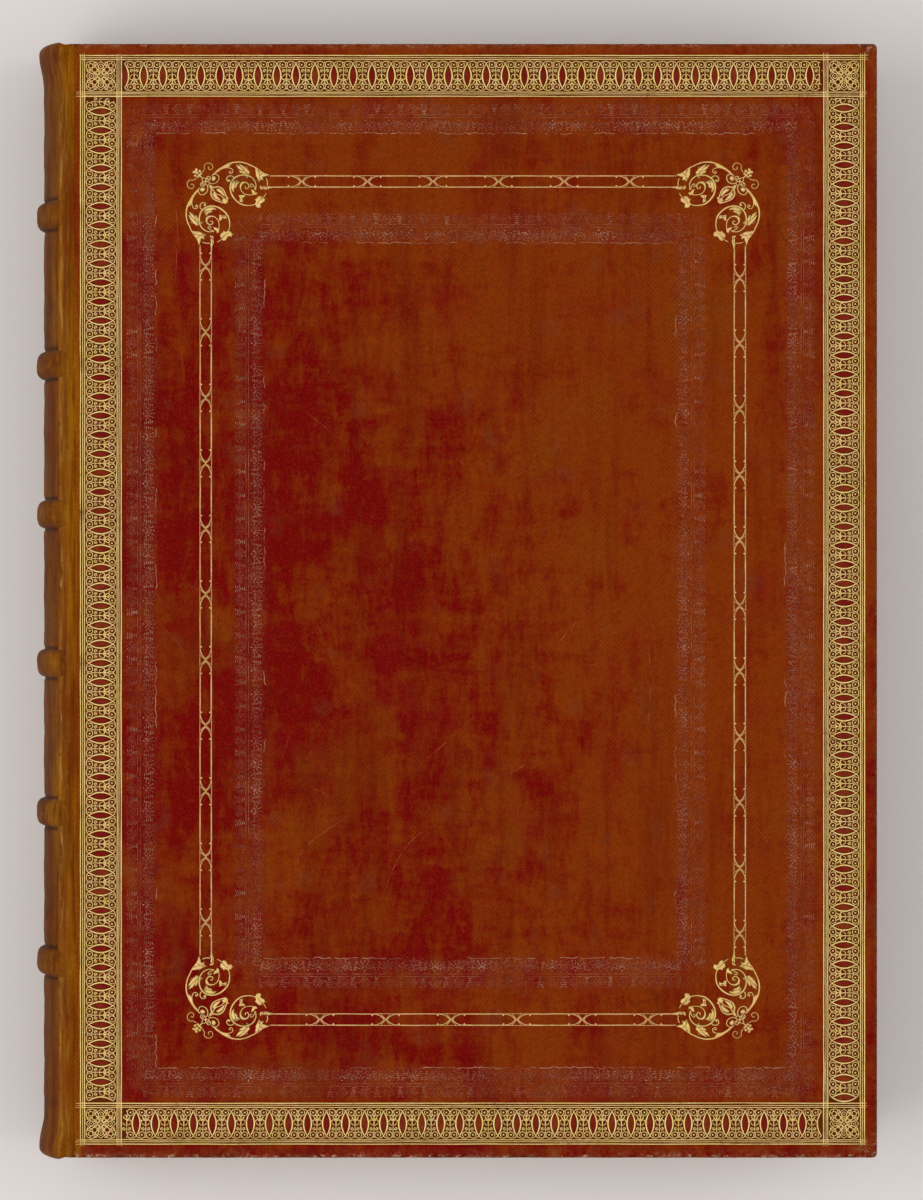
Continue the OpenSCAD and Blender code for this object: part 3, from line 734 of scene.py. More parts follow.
def blind_tooling(rect):
    """The blind roll on the four sides of a frame."""
    work = Ornament()
    unit = blind_unit()
    x0, y0, x1, y1 = rect
    h = BLIND_W / 2
    mid_x, mid_y = (x0 + x1) / 2, (y0 + y1) / 2
    for run, length in (((mid_x, y1 - h, 180), x1 - x0), ((mid_x, y0 + h, 0), x1 - x0),
                        ((x0 + h, mid_y, 270), y1 - y0), ((x1 - h, mid_y, 90), y1 - y0)):
        count = int((length - BLIND_W) / BLIND_PITCH)
        for k in range(count):
            work.stamp_along(unit, run, (k - (count - 1) / 2) * BLIND_PITCH)
    return work


def blind_lines(rect):
    """The broken, scalloped line along the inner edge of a blind frame, clearest at the head and the tail."""
    work = Ornament()
    x0, y0, x1, y1 = rect
    inset = BLIND_W - 0.7
    x0, y0, x1, y1 = x0 + inset, y0 + inset, x1 - inset, y1 - inset
    for start, end, kept in (((x0, y1), (x1, y1), 0.85), ((x0, y0), (x1, y0), 0.7),
                             ((x0, y0), (x0, y1), 0.2), ((x1, y0), (x1, y1), 0.15)):
        line = wavering(*start, *end, step=1.1, sway=0.21)
        at = 0
        while at < len(line) - 4:
            run = rng.integers(3, 9)
            if rng.random() < kept:
                bit = line[at:at + run + 1]
                work.line(bit, 0.14 + 0.2 * rng.random(len(bit)), 0.1)
            at += run + rng.integers(0, 2)
    return work


# Scratches on the upper cover, from point to point
SCRATCHES = (
    ((-64.5, -106.8), (-58.5, -99.5), (-55.4, -91.1), (-48.0, -84.5), (-39.0, -78.3)),
    ((-26.2, -107.6), (-22.0, -97.0), (-17.2, -89.0), (-9.7, -82.0)),
    ((-9.7, -57.2), (-1.0, -49.5), (8.5, -40.7)),
    ((34.1, -19.9), (42.6, -9.5), (50.5, -1.6)),
    ((70.4, -45.0), (71.2, -28.0), (69.5, -4.0)),
    ((-103.0, 153.5), (-100.5, 136.0), (-101.3, 117.0)),
    ((15.0, -66.0), (24.0, -60.5), (31.0, -57.0)),
    ((-77.5, 62.0), (-75.5, 44.0), (-76.3, 30.0)),
)


def tapered(width, points):
    """Widths that rise from almost nothing at the ends to the middle."""
    return width * np.sin(np.linspace(0.05, math.pi - 0.05, points))


FINE_SCRATCHES = 46


def scratches():
    """The long scratches that show in the photo, and fine ones all over."""
    work = Ornament()
    for route in SCRATCHES:
        line = curve(route, 8)
        line += rng.normal(0, 0.05, line.shape)
        work.line(line, 0.1 + tapered(0.3, len(line)), 0.05)
    for _ in range(FINE_SCRATCHES):
        x, y, turn = rng.uniform(-115, 125), rng.uniform(-180, 180), rng.uniform(0, math.pi)
        t = np.linspace(-1, 1, 6)[:, None] * rng.uniform(2, 9)
        line = np.array([x, y]) + t * [math.cos(turn), math.sin(turn)] + rng.normal(0, 0.12, (6, 2))
        work.line(line, 0.05 + tapered(0.13, len(line)), 0.04)
    return work


# ---------------------------------------------------------------- skin of a cover

def depth_in(x, y, rect):
    """How far points lie inside a rectangle."""
    x0, y0, x1, y1 = rect
    return np.minimum(np.minimum(x - x0, x1 - x), np.minimum(y - y0, y1 - y))


def in_frame(x, y, rect, width, soft):
    """1 inside a rectangular frame of a width, 0 outside, with soft walls."""
    depth = depth_in(x, y, rect)
    return smooth_step(depth / soft + 0.5) * smooth_step((width - depth) / soft + 0.5)


WAVES = [(rng.uniform(-0.05, 0.05), rng.uniform(-0.05, 0.05), rng.uniform(0, 6.3), rng.uniform(0.4, 1))
         for _ in range(9)]
WAVE_H = 0.018
# The ridge over a cord laced into the board: height, half width by the joint, and where it ends
CORD_H, CORD_HALF_W, CORD_END = 0.16, 3.6, 30


def swell(x, y):
    """Slow swells of the leather, and the ridges over the cords laced into the board."""
    h = -0.05
    for fx, fy, phase, size in WAVES:
        h = h + WAVE_H * size * np.sin(fx * x + fy * y + phase)
    from_joint = x - JOINT_X
    fan = CORD_HALF_W + 0.16 * from_joint
    length = smooth_step((CORD_END - from_joint) / 24) * smooth_step(from_joint / 3)
    for band in BAND_YS:
        h = h + CORD_H * bell((y - band) / fan) * length
    return h


def skin_height(x, y):
    """Height of the leather over the outer face of a cover."""
    h = swell(x, y)
    for rect, width, depth, soft in SUNK:
        h = h - depth * in_frame(x, y, rect, width, soft)
    return h


# Patches of the leather: x, y, half width, half height, and how far they lean to brown
PATCHES = (
    (-75, 150, 70, 25, 0.4), (-60, 40, 45, 90, -0.35), (-100, -100, 22, 90, -0.3), (60, 120, 60, 50, 0.35),
    (95, 0, 40, 120, 0.75), (20, -60, 60, 55, 0.05), (-20, 90, 50, 30, 0.1), (40, 30, 45, 40, 0.35),
    (20, -175, 120, 16, 0.1), (0, 178, 130, 14, 0.35), (138, 60, 14, 140, 0.35), (-131, 20, 7, 160, 0.5),
    (-40, -150, 60, 30, 0.0), (90, -120, 40, 50, 0.3), (-10, -10, 30, 60, -0.05), (70, -175, 60, 16, 0.1),
)


def tone_at(x, y):
    """0 for red leather, 1 for brown."""
    tone = np.zeros_like(x)
    for px, py, rx, ry, lean in PATCHES:
        tone += lean * bell(np.hypot((x - px) / rx, (y - py) / ry))
    return np.clip(0.42 + tone, 0, 1)


GRID_STEP = 2.3
GRID_GAP = 0.6
WALL_HALF_W = 0.36
CORNER_POINTS = 6


def grid_lines(lo, hi, edges):
    """Even steps from one edge to another, with extra lines at both sides of each wall."""
    extra = [e + d for e in edges for d in (-WALL_HALF_W, WALL_HALF_W)]
    even = np.linspace(lo, hi, int((hi - lo) / GRID_STEP) + 1)
    even = [v for v in even if min(abs(v - e) for e in extra) > GRID_GAP]
    return np.array(sorted([lo, hi] + even[1:-1] + [e for e in extra if lo < e < hi]))


def face_grid(start, end, side):
    """Points of a cover's outer face, as an array of rows along Y."""
    x_edges = [v for (x0, _, x1, _), w, _, _ in SUNK for v in (x0, x0 + w, x1 - w, x1)]
    y_edges = [v for (_, y0, _, y1), w, _, _ in SUNK for v in (y0, y0 + w, y1 - w, y1)]
    x, y = np.meshgrid(grid_lines(start, end, x_edges), grid_lines(-side, side, y_edges), indexing="ij")
    return np.stack([x, y, skin_height(x, y)], 2)


def face_outline(nx, ny):
    """Indices of the points along the edge of a grid, and the way out from each; the joint side has none."""
    grid = np.arange(nx * ny).reshape(nx, ny)
    turns = np.radians(np.linspace(-90, 0, CORNER_POINTS))
    parts = [(grid[:, 0], [(0, -1)] * nx),
             ([grid[-1, 0]] * CORNER_POINTS, [(math.cos(t), math.sin(t)) for t in turns]),
             (grid[-1], [(1, 0)] * ny),
             ([grid[-1, -1]] * CORNER_POINTS, [(-math.sin(t), math.cos(t)) for t in turns]),
             (grid[::-1, -1], [(0, 1)] * nx),
             (grid[0, ::-1], [(0, 0)] * ny)]
    return np.concatenate([points for points, _ in parts]), np.concatenate([ways for _, ways in parts])


def edge_steps():
    """Down the rounded edge of a cover: how far out from the face, and how far below it."""
    r = EDGE_ROUND
    steps = [(r * math.sin(t), r * (1 - math.cos(t))) for t in QUARTER]
    steps += [(r, COVER_T / 2), (r, COVER_T - r)]
    steps += [(r * math.cos(t), COVER_T - r + r * math.sin(t)) for t in np.radians([22.5, 45, 67.5, 90])]
    return steps


def edge_rings(base, ways):
    """The slightly battered edges of a cover."""
    x, y, h = base.T
    worn = 0.12 * np.sin(x * 0.31) * np.sin(y * 0.23) + 0.06 * np.sin(x * 1.3 + y * 0.9)
    rings = []
    for out, drop in edge_steps():
        share = out / EDGE_ROUND
        reach = out - 0.08 * share + 0.3 * share * worn
        rings.append(np.c_[base[:, :2] + ways * reach[:, None], h * (1 - drop / COVER_T) - drop])
    return rings


def turn_in_rings(base, end, side, floor):
    """The leather turned in over the inner face of the board, down to the floor under the pastedown."""
    inner = TURN_IN_W - EDGE_ROUND
    rings = []
    for inset, drop in ((5, COVER_T), (inner - 0.3, COVER_T), (inner, COVER_T - 0.2), (inner, floor)):
        x = np.minimum(base[:, 0], end - inset)
        y = np.clip(base[:, 1], -side + inset, side - inset)
        rings.append(np.c_[x, y, np.full(len(x), -drop)])
    return rings


def cover_skin():
    """The leather over a board: outer face, rounded edges, turn-ins and the side by the joint."""
    start, end, side = JOINT_X + JOINT_CLEAR, FORE_X - EDGE_ROUND, HEAD_Y - EDGE_ROUND
    face = face_grid(start, end, side)
    nx, ny, _ = face.shape
    face = face.reshape(-1, 3)
    a = np.arange(nx * ny).reshape(nx, ny)[:-1, :-1].ravel()
    quads = [np.stack([a, a + ny, a + ny + 1, a + 1], 1)]
    upper, ways = face_outline(nx, ny)
    floor = COVER_T - TURN_IN_T - 0.06
    rings = edge_rings(face[upper], ways) + turn_in_rings(face[upper], end, side, floor)
    n = len(upper)
    a = np.arange(n)
    b = (a + 1) % n
    for k in range(len(rings)):
        lower = len(face) + k * n + a
        quads.append(np.stack([upper[a], lower[a], lower[b], upper[b]], 1))
        upper = lower
    verts = np.vstack([face] + rings + [[[(start + end) / 2, 0, -floor]]])
    tris = np.stack([np.full(n, len(verts) - 1), upper[b], upper[a]], 1)
    return verts, np.concatenate(quads), tris


def blind_rows(x, y, rect):
    """How strongly the leather is rubbed in the two rows of a blind frame."""
    depth = depth_in(x, y, rect)
    return 0.55 * bell((depth - 2.8) / 2.0) + 0.95 * bell((depth - 8.6) / 2.2)


def edge_wear(x, y, h):
    """Wear along the fore edge, the ends, the joint and the corners, on the outer half of a cover."""
    by_fore, by_end = FORE_X - x, HEAD_Y - np.abs(y)
    wear = np.maximum(0.4 * bell((by_fore - 0.5) / 0.8), np.where(y < 0, 1, 0.7) * bell((by_end - 0.6) / 1.1))
    wear = np.maximum(wear, 0.4 * bell(x - JOINT_X - 0.3)) + 0.7 * bell(np.hypot(by_fore, by_end) / 7)
    return np.clip(wear * smooth_step((h + COVER_T + 0.3) / 1.2), 0, 1)


def skin_attributes(verts):
    """What the material of a cover is told at each point, all from 0 to about 1."""
    x, y, h = verts.T
    on_face = (h > -1).astype(float)
    blind = (blind_rows(x, y, BLIND_OUTER) + blind_rows(x, y, BLIND_INNER)) * on_face
    # The last millimetres before the edges are browner at the head and redder at the tail
    by_edge = np.minimum(FORE_X - x, HEAD_Y - np.abs(y))
    brim = smooth_step((6 - by_edge) / 5) * np.where(y > 0, 0.35, -0.45)
    # Amber leather beside the joint, which fades out towards the head
    margin = smooth_step((JOINT_X + 6.5 - x) / 4) * (1 - 0.75 * smooth_step((y - 40) / 110))
    return dict(tone=np.clip(tone_at(x, y) - 0.2 * blind + brim, 0, 1),
                ground=in_frame(x, y, BORDER, BORDER_W, 0.8) * on_face,
                blind=blind, wear=edge_wear(x, y, h), margin=margin)


# ---------------------------------------------------------------- the back

def band_height(theta):
    """How far a raised band stands out beyond the back, at an angle from its middle."""
    c = BAND_X - BACK_X
    rho = -c * np.cos(theta) + np.sqrt(np.maximum(BAND_R ** 2 - (c * np.sin(theta)) ** 2, 0))
    return np.maximum(rho - BACK_R, 0)


CREASE_DEPTH = 0.42


def back_relief(theta, y):
    """Height of the back's leather over its arc: bands, their creases, ripples and the worn hollows."""
    h = np.zeros(np.broadcast(theta, y).shape)
    for band in BAND_YS:
        t = np.abs(y - band) / (BAND_W / 2)
        body = np.clip(1 - t ** 3.2, 0, None) ** 0.55
        h = h + (band_height(theta) + 0.25 * np.cos(theta) ** 2) * body
        for s in (-1, 1):
            h = h - CREASE_DEPTH * bell((y - band - s * (BAND_W / 2 + 0.55)) / 0.65) * np.cos(theta) ** 2
    h = h - 0.2 * bell((y - TAIL_CREASE_Y) / 0.7)
    return h + 0.09 * np.sin(y * 0.31 + 2 * np.sin(theta * 5)) + 0.05 * np.sin(y * 0.83 + 7 * theta)


def end_theta(radius):
    """Where a surface of a radius on the back meets the space kept for the covers."""
    return np.arccos(np.clip((BACK_X - JOINT_X + JOINT_CLEAR) / radius, 0, 1))


def on_back(radius, theta):
    """X and Z of a point of the back, kept clear of the covers."""
    lift = np.clip(radius * np.sin(theta), JOINT_CLEAR - MID_Z, MID_Z - JOINT_CLEAR)
    return BACK_X - radius * np.cos(theta), MID_Z + lift


# Steps of the profile on either side of a raised band, and of a cap's lip: beyond it, and below the head
BAND_STEPS = (2, 3.4, 4.3, 4.8, 5.1, 5.5, 6.0, 6.6)
LIP_STEPS = ((4, 0.1), (1.6, 0.35), (0.3, 0.45), (-0.35, 0.9), (0, 1.4), (1, 1.35))


def cap_profile(start, fold):
    """The head of the profile: the back flares out, rolls over the endband and comes back inside."""
    out = BACK_R + CAP_FLARE
    head = []
    for t in np.linspace(0.08, 1, 9):
        head.append((BACK_R + CAP_FLARE * smooth_step(t), start + FLARE_LEN * t, 1 - t))
    for t in QUARTER:
        head.append((out - CAP_ROUND * (1 - math.cos(t)), fold + CAP_ROUND * math.sin(t), 0))
    head += [(out - CAP_COVER + beyond, CAP_Y - drop, 0) for beyond, drop in LIP_STEPS]
    small = CAP_ROUND - LEATHER_T
    for t in np.radians([90, 60, 30, 0]):
        head.append((out - CAP_ROUND + small * math.cos(t), fold + small * math.sin(t), 0))
    return head + [(BACK_R - LEATHER_T, start, 0)]


def back_profile():
    """Radius, Y and share of the relief: the outer face from tail to head, and back on the inner face."""
    fold = CAP_Y - CAP_ROUND
    start = fold - FLARE_LEN
    near = [band + d for band in BAND_YS for d in (0, *BAND_STEPS, *(-step for step in BAND_STEPS))]
    even = [v for v in np.arange(-start, start + 0.01, PROFILE_STEP)
            if min(abs(v - n) for n in near) > PROFILE_GAP]
    out = [(BACK_R, v, 1) for v in sorted(even + near)]
    head = cap_profile(start, fold)
    inner = [(BACK_R - LEATHER_T, v, 0) for v in np.linspace(start - 20, 20 - start, 14)]
    tail = [(r, -y, relief) for r, y, relief in reversed(head)]
    return np.array(out + head + inner + tail)


BACK_STEPS = 57
PROFILE_STEP, PROFILE_GAP = 2.4, 0.9
# The crushed ends of the caps: how far they droop, and from which Y on
CAP_DROOP, CAP_DROOP_Y = 1.4, 198


def back_leather():
    """The profile carried round the back from joint to joint."""
    r, y, relief = back_profile().T
    rings = []
    for t in np.linspace(-1, 1, BACK_STEPS):
        raised = r + relief * back_relief(t * end_theta(r), y)
        x, z = on_back(raised, t * end_theta(raised))
        droop = CAP_DROOP * smooth_step((abs(t) - 0.78) / 0.22) * smooth_step((np.abs(y) - CAP_DROOP_Y) / 5)
        rings.append(np.stack([x, y - np.sign(y) * droop, z], 1))
    tris = []
    for ring in (0, BACK_STEPS - 1):
        outline = [Vector(point) for point in rings[ring]]
        tris += [[ring * len(r) + corner for corner in tri] for tri in tessellate_polygon([outline])]
    return np.concatenate(rings), ring_stack(rings), np.array(tris)


# ---------------------------------------------------------------- pages and endbands

LEAF_T = 0.5
LEAF_PROUD = 0.42
LEAF_X = JOINT_X + 1.7
LEAF_STEPS_END, LEAF_STEPS_FORE = 46, 60
SECTION_DIP = 0.3
ENDPAPER_T = 0.25
SECTIONS = 20
HOLLOW = 7
HOLLOW_R = ((BOOK_T / 2 - (BOOK_T - ENDPAPER_TOP)) ** 2 + HOLLOW ** 2) / (2 * HOLLOW)
# Waves along the edge of a leaf: height, and rate over the length of a side
LEAF_WAVES = ((0.05, 7), (0.03, 23), (0.02, 61))


def leaf_sway(t, phases):
    """How far the edge of a leaf sways at a share of its length."""
    return sum(size * np.sin(rate * t + phase) for (size, rate), phase in zip(LEAF_WAVES, phases))


def leaf_outline(z, rise, ridge, phases):
    """The edge of a leaf along head, fore edge and tail; only a ridge sways."""
    xs, ys = np.linspace(0, 1, LEAF_STEPS_END), np.linspace(1, -1, LEAF_STEPS_FORE)
    fore = PAGE_FORE_X - HOLLOW + HOLLOW_R - math.sqrt(HOLLOW_R ** 2 - (z - MID_Z) ** 2) + rise
    head = PAGE_HEAD_Y + rise
    along = LEAF_X + (fore - LEAF_X) * xs
    up = np.c_[along, head + ridge * leaf_sway(xs, phases), np.full(len(xs), z)]
    out = np.c_[fore + ridge * leaf_sway(ys, phases), ys * head, np.full(len(ys), z)][1:-1]
    down = np.c_[along[::-1], -head + ridge * leaf_sway(xs[::-1] + 2, phases), np.full(len(xs), z)]
    return np.vstack([up, out, down])


def page_edges():
    """The uneven leaves, just proud of the block, with a dip between sections, and the tone of each: a random
    tone for each leaf, and 0, for painted shade, in the gaps between them.
    """
    top_leaf = ENDPAPER_TOP - ENDPAPER_T
    lo, hi = BOOK_T - top_leaf + 0.05, top_leaf - 0.05
    depth = hi - lo
    levels = 2 * int(depth / LEAF_T)
    rings, leaf_tones_and_gap_shade = [], []
    for k in range(levels + 1):
        z = lo + depth * k / levels
        ridge = k % 2
        section = abs(((z - lo) * SECTIONS / depth + 0.5) % 1 - 0.5)
        rise = LEAF_PROUD + (rng.normal(0, 0.05) if ridge else -0.1) - SECTION_DIP * bell(section / 0.07)
        rings.append(leaf_outline(z, max(rise, 0.04), ridge, rng.uniform(0, 6.3, 3)))
        # Leaves get a random tone; the set-back gaps between them get 0, which the material paints as shade
        leaf_tones_and_gap_shade.append(np.full(len(rings[-1]), rng.uniform(0.2, 1) if ridge else 0.0))
    n = len(rings[0])
    last = (len(rings) - 1) * n
    a = np.arange(n)
    b = (a + 1) % n
    bottom = len(rings) * n
    tris = np.concatenate([np.stack([a, b, np.full(n, bottom)], 1),
                           np.stack([b + last, a + last, np.full(n, bottom + 1)], 1)])
    verts = np.vstack(rings + [[[0, 0, lo], [0, 0, hi]]])
    return verts, ring_stack(rings), tris, np.concatenate(leaf_tones_and_gap_shade + [np.zeros(2)])


# Endbands: turns of silk over a core, bent round the back of the pages
ENDBAND_TURNS = 58
ENDBAND_ANGLE = 34
ENDBAND_SWEEP_R = BACK_R - 3.5
SILK_R, CORE_R = 1.85, 1.5


def endband(end):
    """A core wound with two colours of silk; end is 1 at the head and -1 at the tail."""
    middle = end * (PAGE_HEAD_Y + 2.0)
    around = np.radians(np.arange(0, 360, 30))
    rings, stripe = [], []
    for k in range(2 * ENDBAND_TURNS + 1):
        theta = math.radians(ENDBAND_ANGLE) * (k / ENDBAND_TURNS - 1)
        r = SILK_R + rng.normal(0, 0.02) if k % 2 else CORE_R
        radius = ENDBAND_SWEEP_R + r * np.cos(around)
        rings.append(np.stack([BACK_X - radius * math.cos(theta), middle + r * np.sin(around),
                               MID_Z + radius * math.sin(theta)], 1))
        stripe.append(np.full(len(around), float((k // 2) % 4 < 2)))
    return np.concatenate(rings), ring_stack(rings), end_caps(rings), np.concatenate(stripe)


def facing_out(obj):
    """Turns the faces of a closed piece outwards."""
    bm = bmesh.new()
    bm.from_mesh(obj.data)
    bmesh.ops.recalc_face_normals(bm, faces=bm.faces)
    bm.to_mesh(obj.data)
    bm.free()
    return obj


# ---------------------------------------------------------------- materials

class Shade:
    """A Principled material put together from procedural nodes. Scales are in features a metre."""

    def __init__(self, name):
        self.mat = bpy.data.materials.new(name)
        self.mat.use_nodes = True
        self.tree = self.mat.node_tree
        self.tree.nodes.clear()
        out = self.tree.nodes.new("ShaderNodeOutputMaterial")
        self.bsdf = self.tree.nodes.new("ShaderNodeBsdfPrincipled")
        self.tree.links.new(self.bsdf.outputs[0], out.inputs[0])
        self.place = self.tree.nodes.new("ShaderNodeTexCoord").outputs["Object"]

    def put(self, socket, value):
        """Links a socket to another, or sets its value."""
        if isinstance(value, bpy.types.NodeSocket):
            self.tree.links.new(value, socket)
        else:
            socket.default_value = value

    def node(self, kind, output, inputs, **settings):
        """An output of a new node, whose inputs are linked or set to a value."""
        node = self.tree.nodes.new("ShaderNode" + kind)
        for key, value in settings.items():
            setattr(node, key, value)
        for key, value in inputs.items():
            self.put(node.inputs[key], value)
        return node.outputs[output]

    def noise(self, scale, detail=3.0, rough=0.55, distortion=0.0, place=None):
        return self.node("TexNoise", "Fac", {"Vector": place or self.place, "Scale": scale, "Detail": detail,
                                             "Roughness": rough, "Distortion": distortion})

    def cells(self, scale, feature="F1", place=None):
        inputs = {"Vector": place or self.place, "Scale": scale}
        return self.node("TexVoronoi", "Distance", inputs, feature=feature)

    def wave(self, scale, direction, distortion, detail, detail_scale, place=None):
        inputs = {"Vector": place or self.place, "Scale": scale, "Distortion": distortion, "Detail": detail,
                  "Detail Scale": detail_scale}
        return self.node("TexWave", "Fac", inputs, bands_direction=direction)

    def stretched(self, scale=(1, 1, 1), turn=(0, 0, 0)):
        """The place, scaled and turned in degrees: features grow long where the scale is small."""
        turn = [math.radians(v) for v in turn]
        return self.node("Mapping", 0, {"Vector": self.place, "Rotation": turn, "Scale": scale})

    def attribute(self, name):
        return self.node("Attribute", "Fac", {}, attribute_name=name)

    def ramp(self, value, low, high, from_value=0.0, to_value=1.0):
        """Goes from one value to another while the input goes from low to high."""
        return self.node("MapRange", 0, {"Value": value, "From Min": low, "From Max": high,
                                         "To Min": from_value, "To Max": to_value}, clamp=True)

    def sheen(self, value, smooth, rough):
        """A roughness that varies with a noise, from smooth to rough."""
        return self.ramp(value, 0.3, 0.7, smooth, rough)

    def math(self, operation, a, b):
        return self.node("Math", 0, {0: a, 1: b}, operation=operation, use_clamp=True)

    def times(self, a, b):
        return self.math("MULTIPLY", a, b)

    def plus(self, a, b):
        return self.math("ADD", a, b)

    def mix(self, share, a, b):
        """A mix of two colours."""
        a, b = (value if isinstance(value, bpy.types.NodeSocket) else (*value, 1) for value in (a, b))
        return self.node("Mix", 2, {0: share, 6: a, 7: b}, data_type="RGBA")

    def stain(self, colour, tint, value, low, high, share=1.0, mask=None):
        """Lays a tint over a colour, up to a share, as a value goes from low to high and inside a mask."""
        amount = self.ramp(value, low, high, 0.0, share)
        return self.mix(amount if mask is None else self.times(mask, amount), colour, tint)

    def bump(self, height, distance, strength, normal=None):
        """A normal shaped by a height, on top of another normal if there is one."""
        inputs = {"Height": height, "Distance": distance, "Strength": strength}
        if normal is not None:
            inputs["Normal"] = normal
        return self.node("Bump", 0, inputs)

    def finish(self, colour, roughness, normal, specular):
        self.put(self.bsdf.inputs["Base Color"], colour)
        self.put(self.bsdf.inputs["Roughness"], roughness)
        self.put(self.bsdf.inputs["Normal"], normal)
        self.bsdf.inputs["Specular IOR Level"].default_value = specular
        return self.mat


def srgb(r, g, b):
    """A colour as seen on a screen, 0 to 255, turned into the shader's linear values."""
    shares = (r / 255, g / 255, b / 255)
    return tuple(v / 12.92 if v <= 0.04045 else ((v + 0.055) / 1.055) ** 2.4 for v in shares)


def grain(s):
    """Fine crossed grain of goatskin, with small creases and pores."""
    along = s.wave(460, "DIAGONAL", 3.0, 2.0, 2.2, s.stretched((1, 0.75, 1)))
    across = s.wave(430, "DIAGONAL", 3.4, 2.0, 2.2, s.stretched((1, 0.8, 1), (0, 0, 90)))
    return s.plus(s.times(s.times(along, across), 0.7), s.times(s.cells(620), 0.5))


def amber(s):
    """The leather by the joints and on the back, faded to amber and streaked along the book."""
    streaks = s.noise(130, 4, 0.65, 0.2, s.stretched((1, 0.07, 1)))
    clouds = s.noise(20, 4, 0.6, 0.3)
    fine = s.noise(620, 3, 0.65, 0.2, s.stretched((1, 0.06, 1)))
    colour = s.mix(s.ramp(streaks, 0.4, 0.62), srgb(114, 54, 0), srgb(156, 99, 4))
    colour = s.stain(colour, srgb(84, 32, 0), fine, 0.48, 0.62, 0.55)
    return s.stain(colour, srgb(112, 42, 2), clouds, 0.42, 0.66, 0.6)


def mottled(s):
    """Red leather that leans to brown by its tone, in clouds and in brushed strokes."""
    clouds = s.noise(11, 4, 0.6, 0.4)
    patches = s.noise(42, 4, 0.62, 0.3)
    clouded = s.plus(s.times(clouds, 0.6), s.times(patches, 0.4))
    along = s.noise(125, 6, 0.76, 0.25, s.stretched((1, 0.3, 1)))
    across = s.noise(105, 6, 0.76, 0.25, s.stretched((0.35, 1, 1)))
    brushed = s.plus(s.times(along, 0.6), s.times(across, 0.4))
    lean = s.plus(s.times(s.attribute("tone"), 0.56), s.ramp(clouded, 0.36, 0.66, 0.0, 0.42))
    lean = s.plus(lean, s.ramp(brushed, 0.41, 0.59, 0.0, 0.62))
    colour = s.mix(s.ramp(lean, 0.48, 1.12), srgb(113, 0, 0), srgb(133, 56, 0))
    colour = s.stain(colour, srgb(122, 6, 10), s.noise(30, 3, 0.6, 0.2), 0.56, 0.72, 0.5)
    olive = s.noise(24, 3, 0.6, 0.2, s.stretched(turn=(0, 0, 40)))
    colour = s.stain(colour, srgb(124, 62, 2), olive, 0.57, 0.74, 0.55)
    bloom = s.noise(85, 2, 0.5, 0, s.stretched(turn=(0, 0, 70)))
    colour = s.stain(colour, srgb(116, 60, 32), bloom, 0.62, 0.74, 0.32)
    streaks = s.noise(105, 4, 0.65, 0.15, s.stretched((1, 0.09, 1)))
    return s.stain(colour, srgb(92, 0, 0), streaks, 0.5, 0.66, 0.36)


def rubbed_rolls(s, colour):
    """The blind rolls, rubbed dusky, with pale specks on what is left of them."""
    dusky = s.mix(s.ramp(s.noise(150, 4, 0.65, 0.3), 0.4, 0.6), srgb(104, 10, 8), srgb(132, 62, 46))
    rubbed = s.times(s.attribute("blind"), s.ramp(s.noise(52, 4, 0.7, 0.3), 0.38, 0.62, 0.12, 0.9))
    colour = s.mix(s.times(rubbed, 0.26), colour, dusky)
    return s.stain(colour, srgb(172, 122, 98), s.noise(1250, 3, 0.8), 0.53, 0.6, 0.8, rubbed)


def worn_edges(s, colour):
    """Rubbed, chipped and darkened leather where the wear is."""
    wear = s.attribute("wear")
    colour = s.stain(colour, srgb(140, 84, 48), s.noise(210, 4, 0.75), 0.42, 0.68, 0.7, wear)
    colour = s.stain(colour, srgb(184, 152, 120), s.noise(480, 4, 0.8), 0.54, 0.6, 0.8, s.times(wear, wear))
    dirt = s.noise(90, 4, 0.7, 0, s.stretched(turn=(30, 0, 0)))
    return s.stain(colour, srgb(62, 18, 8), dirt, 0.5, 0.62, 0.6, wear)


def leather_material():
    s = Shade("cover_leather_worn")
    colour = s.mix(s.attribute("margin"), mottled(s), amber(s))
    ground = s.times(s.attribute("ground"), s.ramp(s.noise(60, 3), 0.3, 0.7, 0.6, 1.0))
    colour = rubbed_rolls(s, s.mix(ground, colour, srgb(76, 34, 0)))
    skin = grain(s)
    colour = s.stain(colour, srgb(60, 4, 0), skin, 0.75, 0.1, 0.4)
    colour = s.stain(colour, srgb(160, 62, 14), s.noise(1500, 2, 0.6), 0.5, 0.75, 0.2)
    colour = worn_edges(s, colour)
    creases = s.ramp(s.cells(160, "DISTANCE_TO_EDGE"), 0.0, 0.06, 1.0, 0.0)
    colour = s.stain(colour, srgb(70, 18, 6), s.noise(26, 3), 0.52, 0.66, 0.3, creases)
    normal = s.bump(s.noise(260, 4, 0.6), 0.00022, 0.35, s.bump(skin, 0.00011, 0.55))
    return s.finish(colour, s.sheen(s.noise(70, 4, 0.6), 0.42, 0.62), normal, 0.03)


def gold_material(name, yellow, rose, glint):
    """Gold leaf that has worn off in places."""
    s = Shade(name)
    tint = s.noise(95, 4, 0.6, 0.4)
    colour = s.mix(s.ramp(tint, 0.36, 0.62), yellow, rose)
    # Painted glints: paler spots that stand in for the shine of the leaf
    colour = s.stain(colour, glint, s.noise(420, 3, 0.6), 0.4, 0.7, 0.5)
    patches = s.ramp(s.noise(55, 3, 0.6, 0.2, s.stretched(turn=(0, 0, 25))), 0.5, 0.72, 0.1, 0.6)
    lost = s.times(patches, s.ramp(s.noise(900, 3, 0.7), 0.46, 0.6))
    colour = s.mix(lost, colour, srgb(130, 76, 26))
    s.put(s.bsdf.inputs["Metallic"], s.ramp(lost, 0.1, 0.6, 0.2, 0.05))
    normal = s.bump(s.noise(1100, 3, 0.6), 0.00005, 0.5)
    return s.finish(colour, s.sheen(tint, 0.34, 0.5), normal, 0.4)


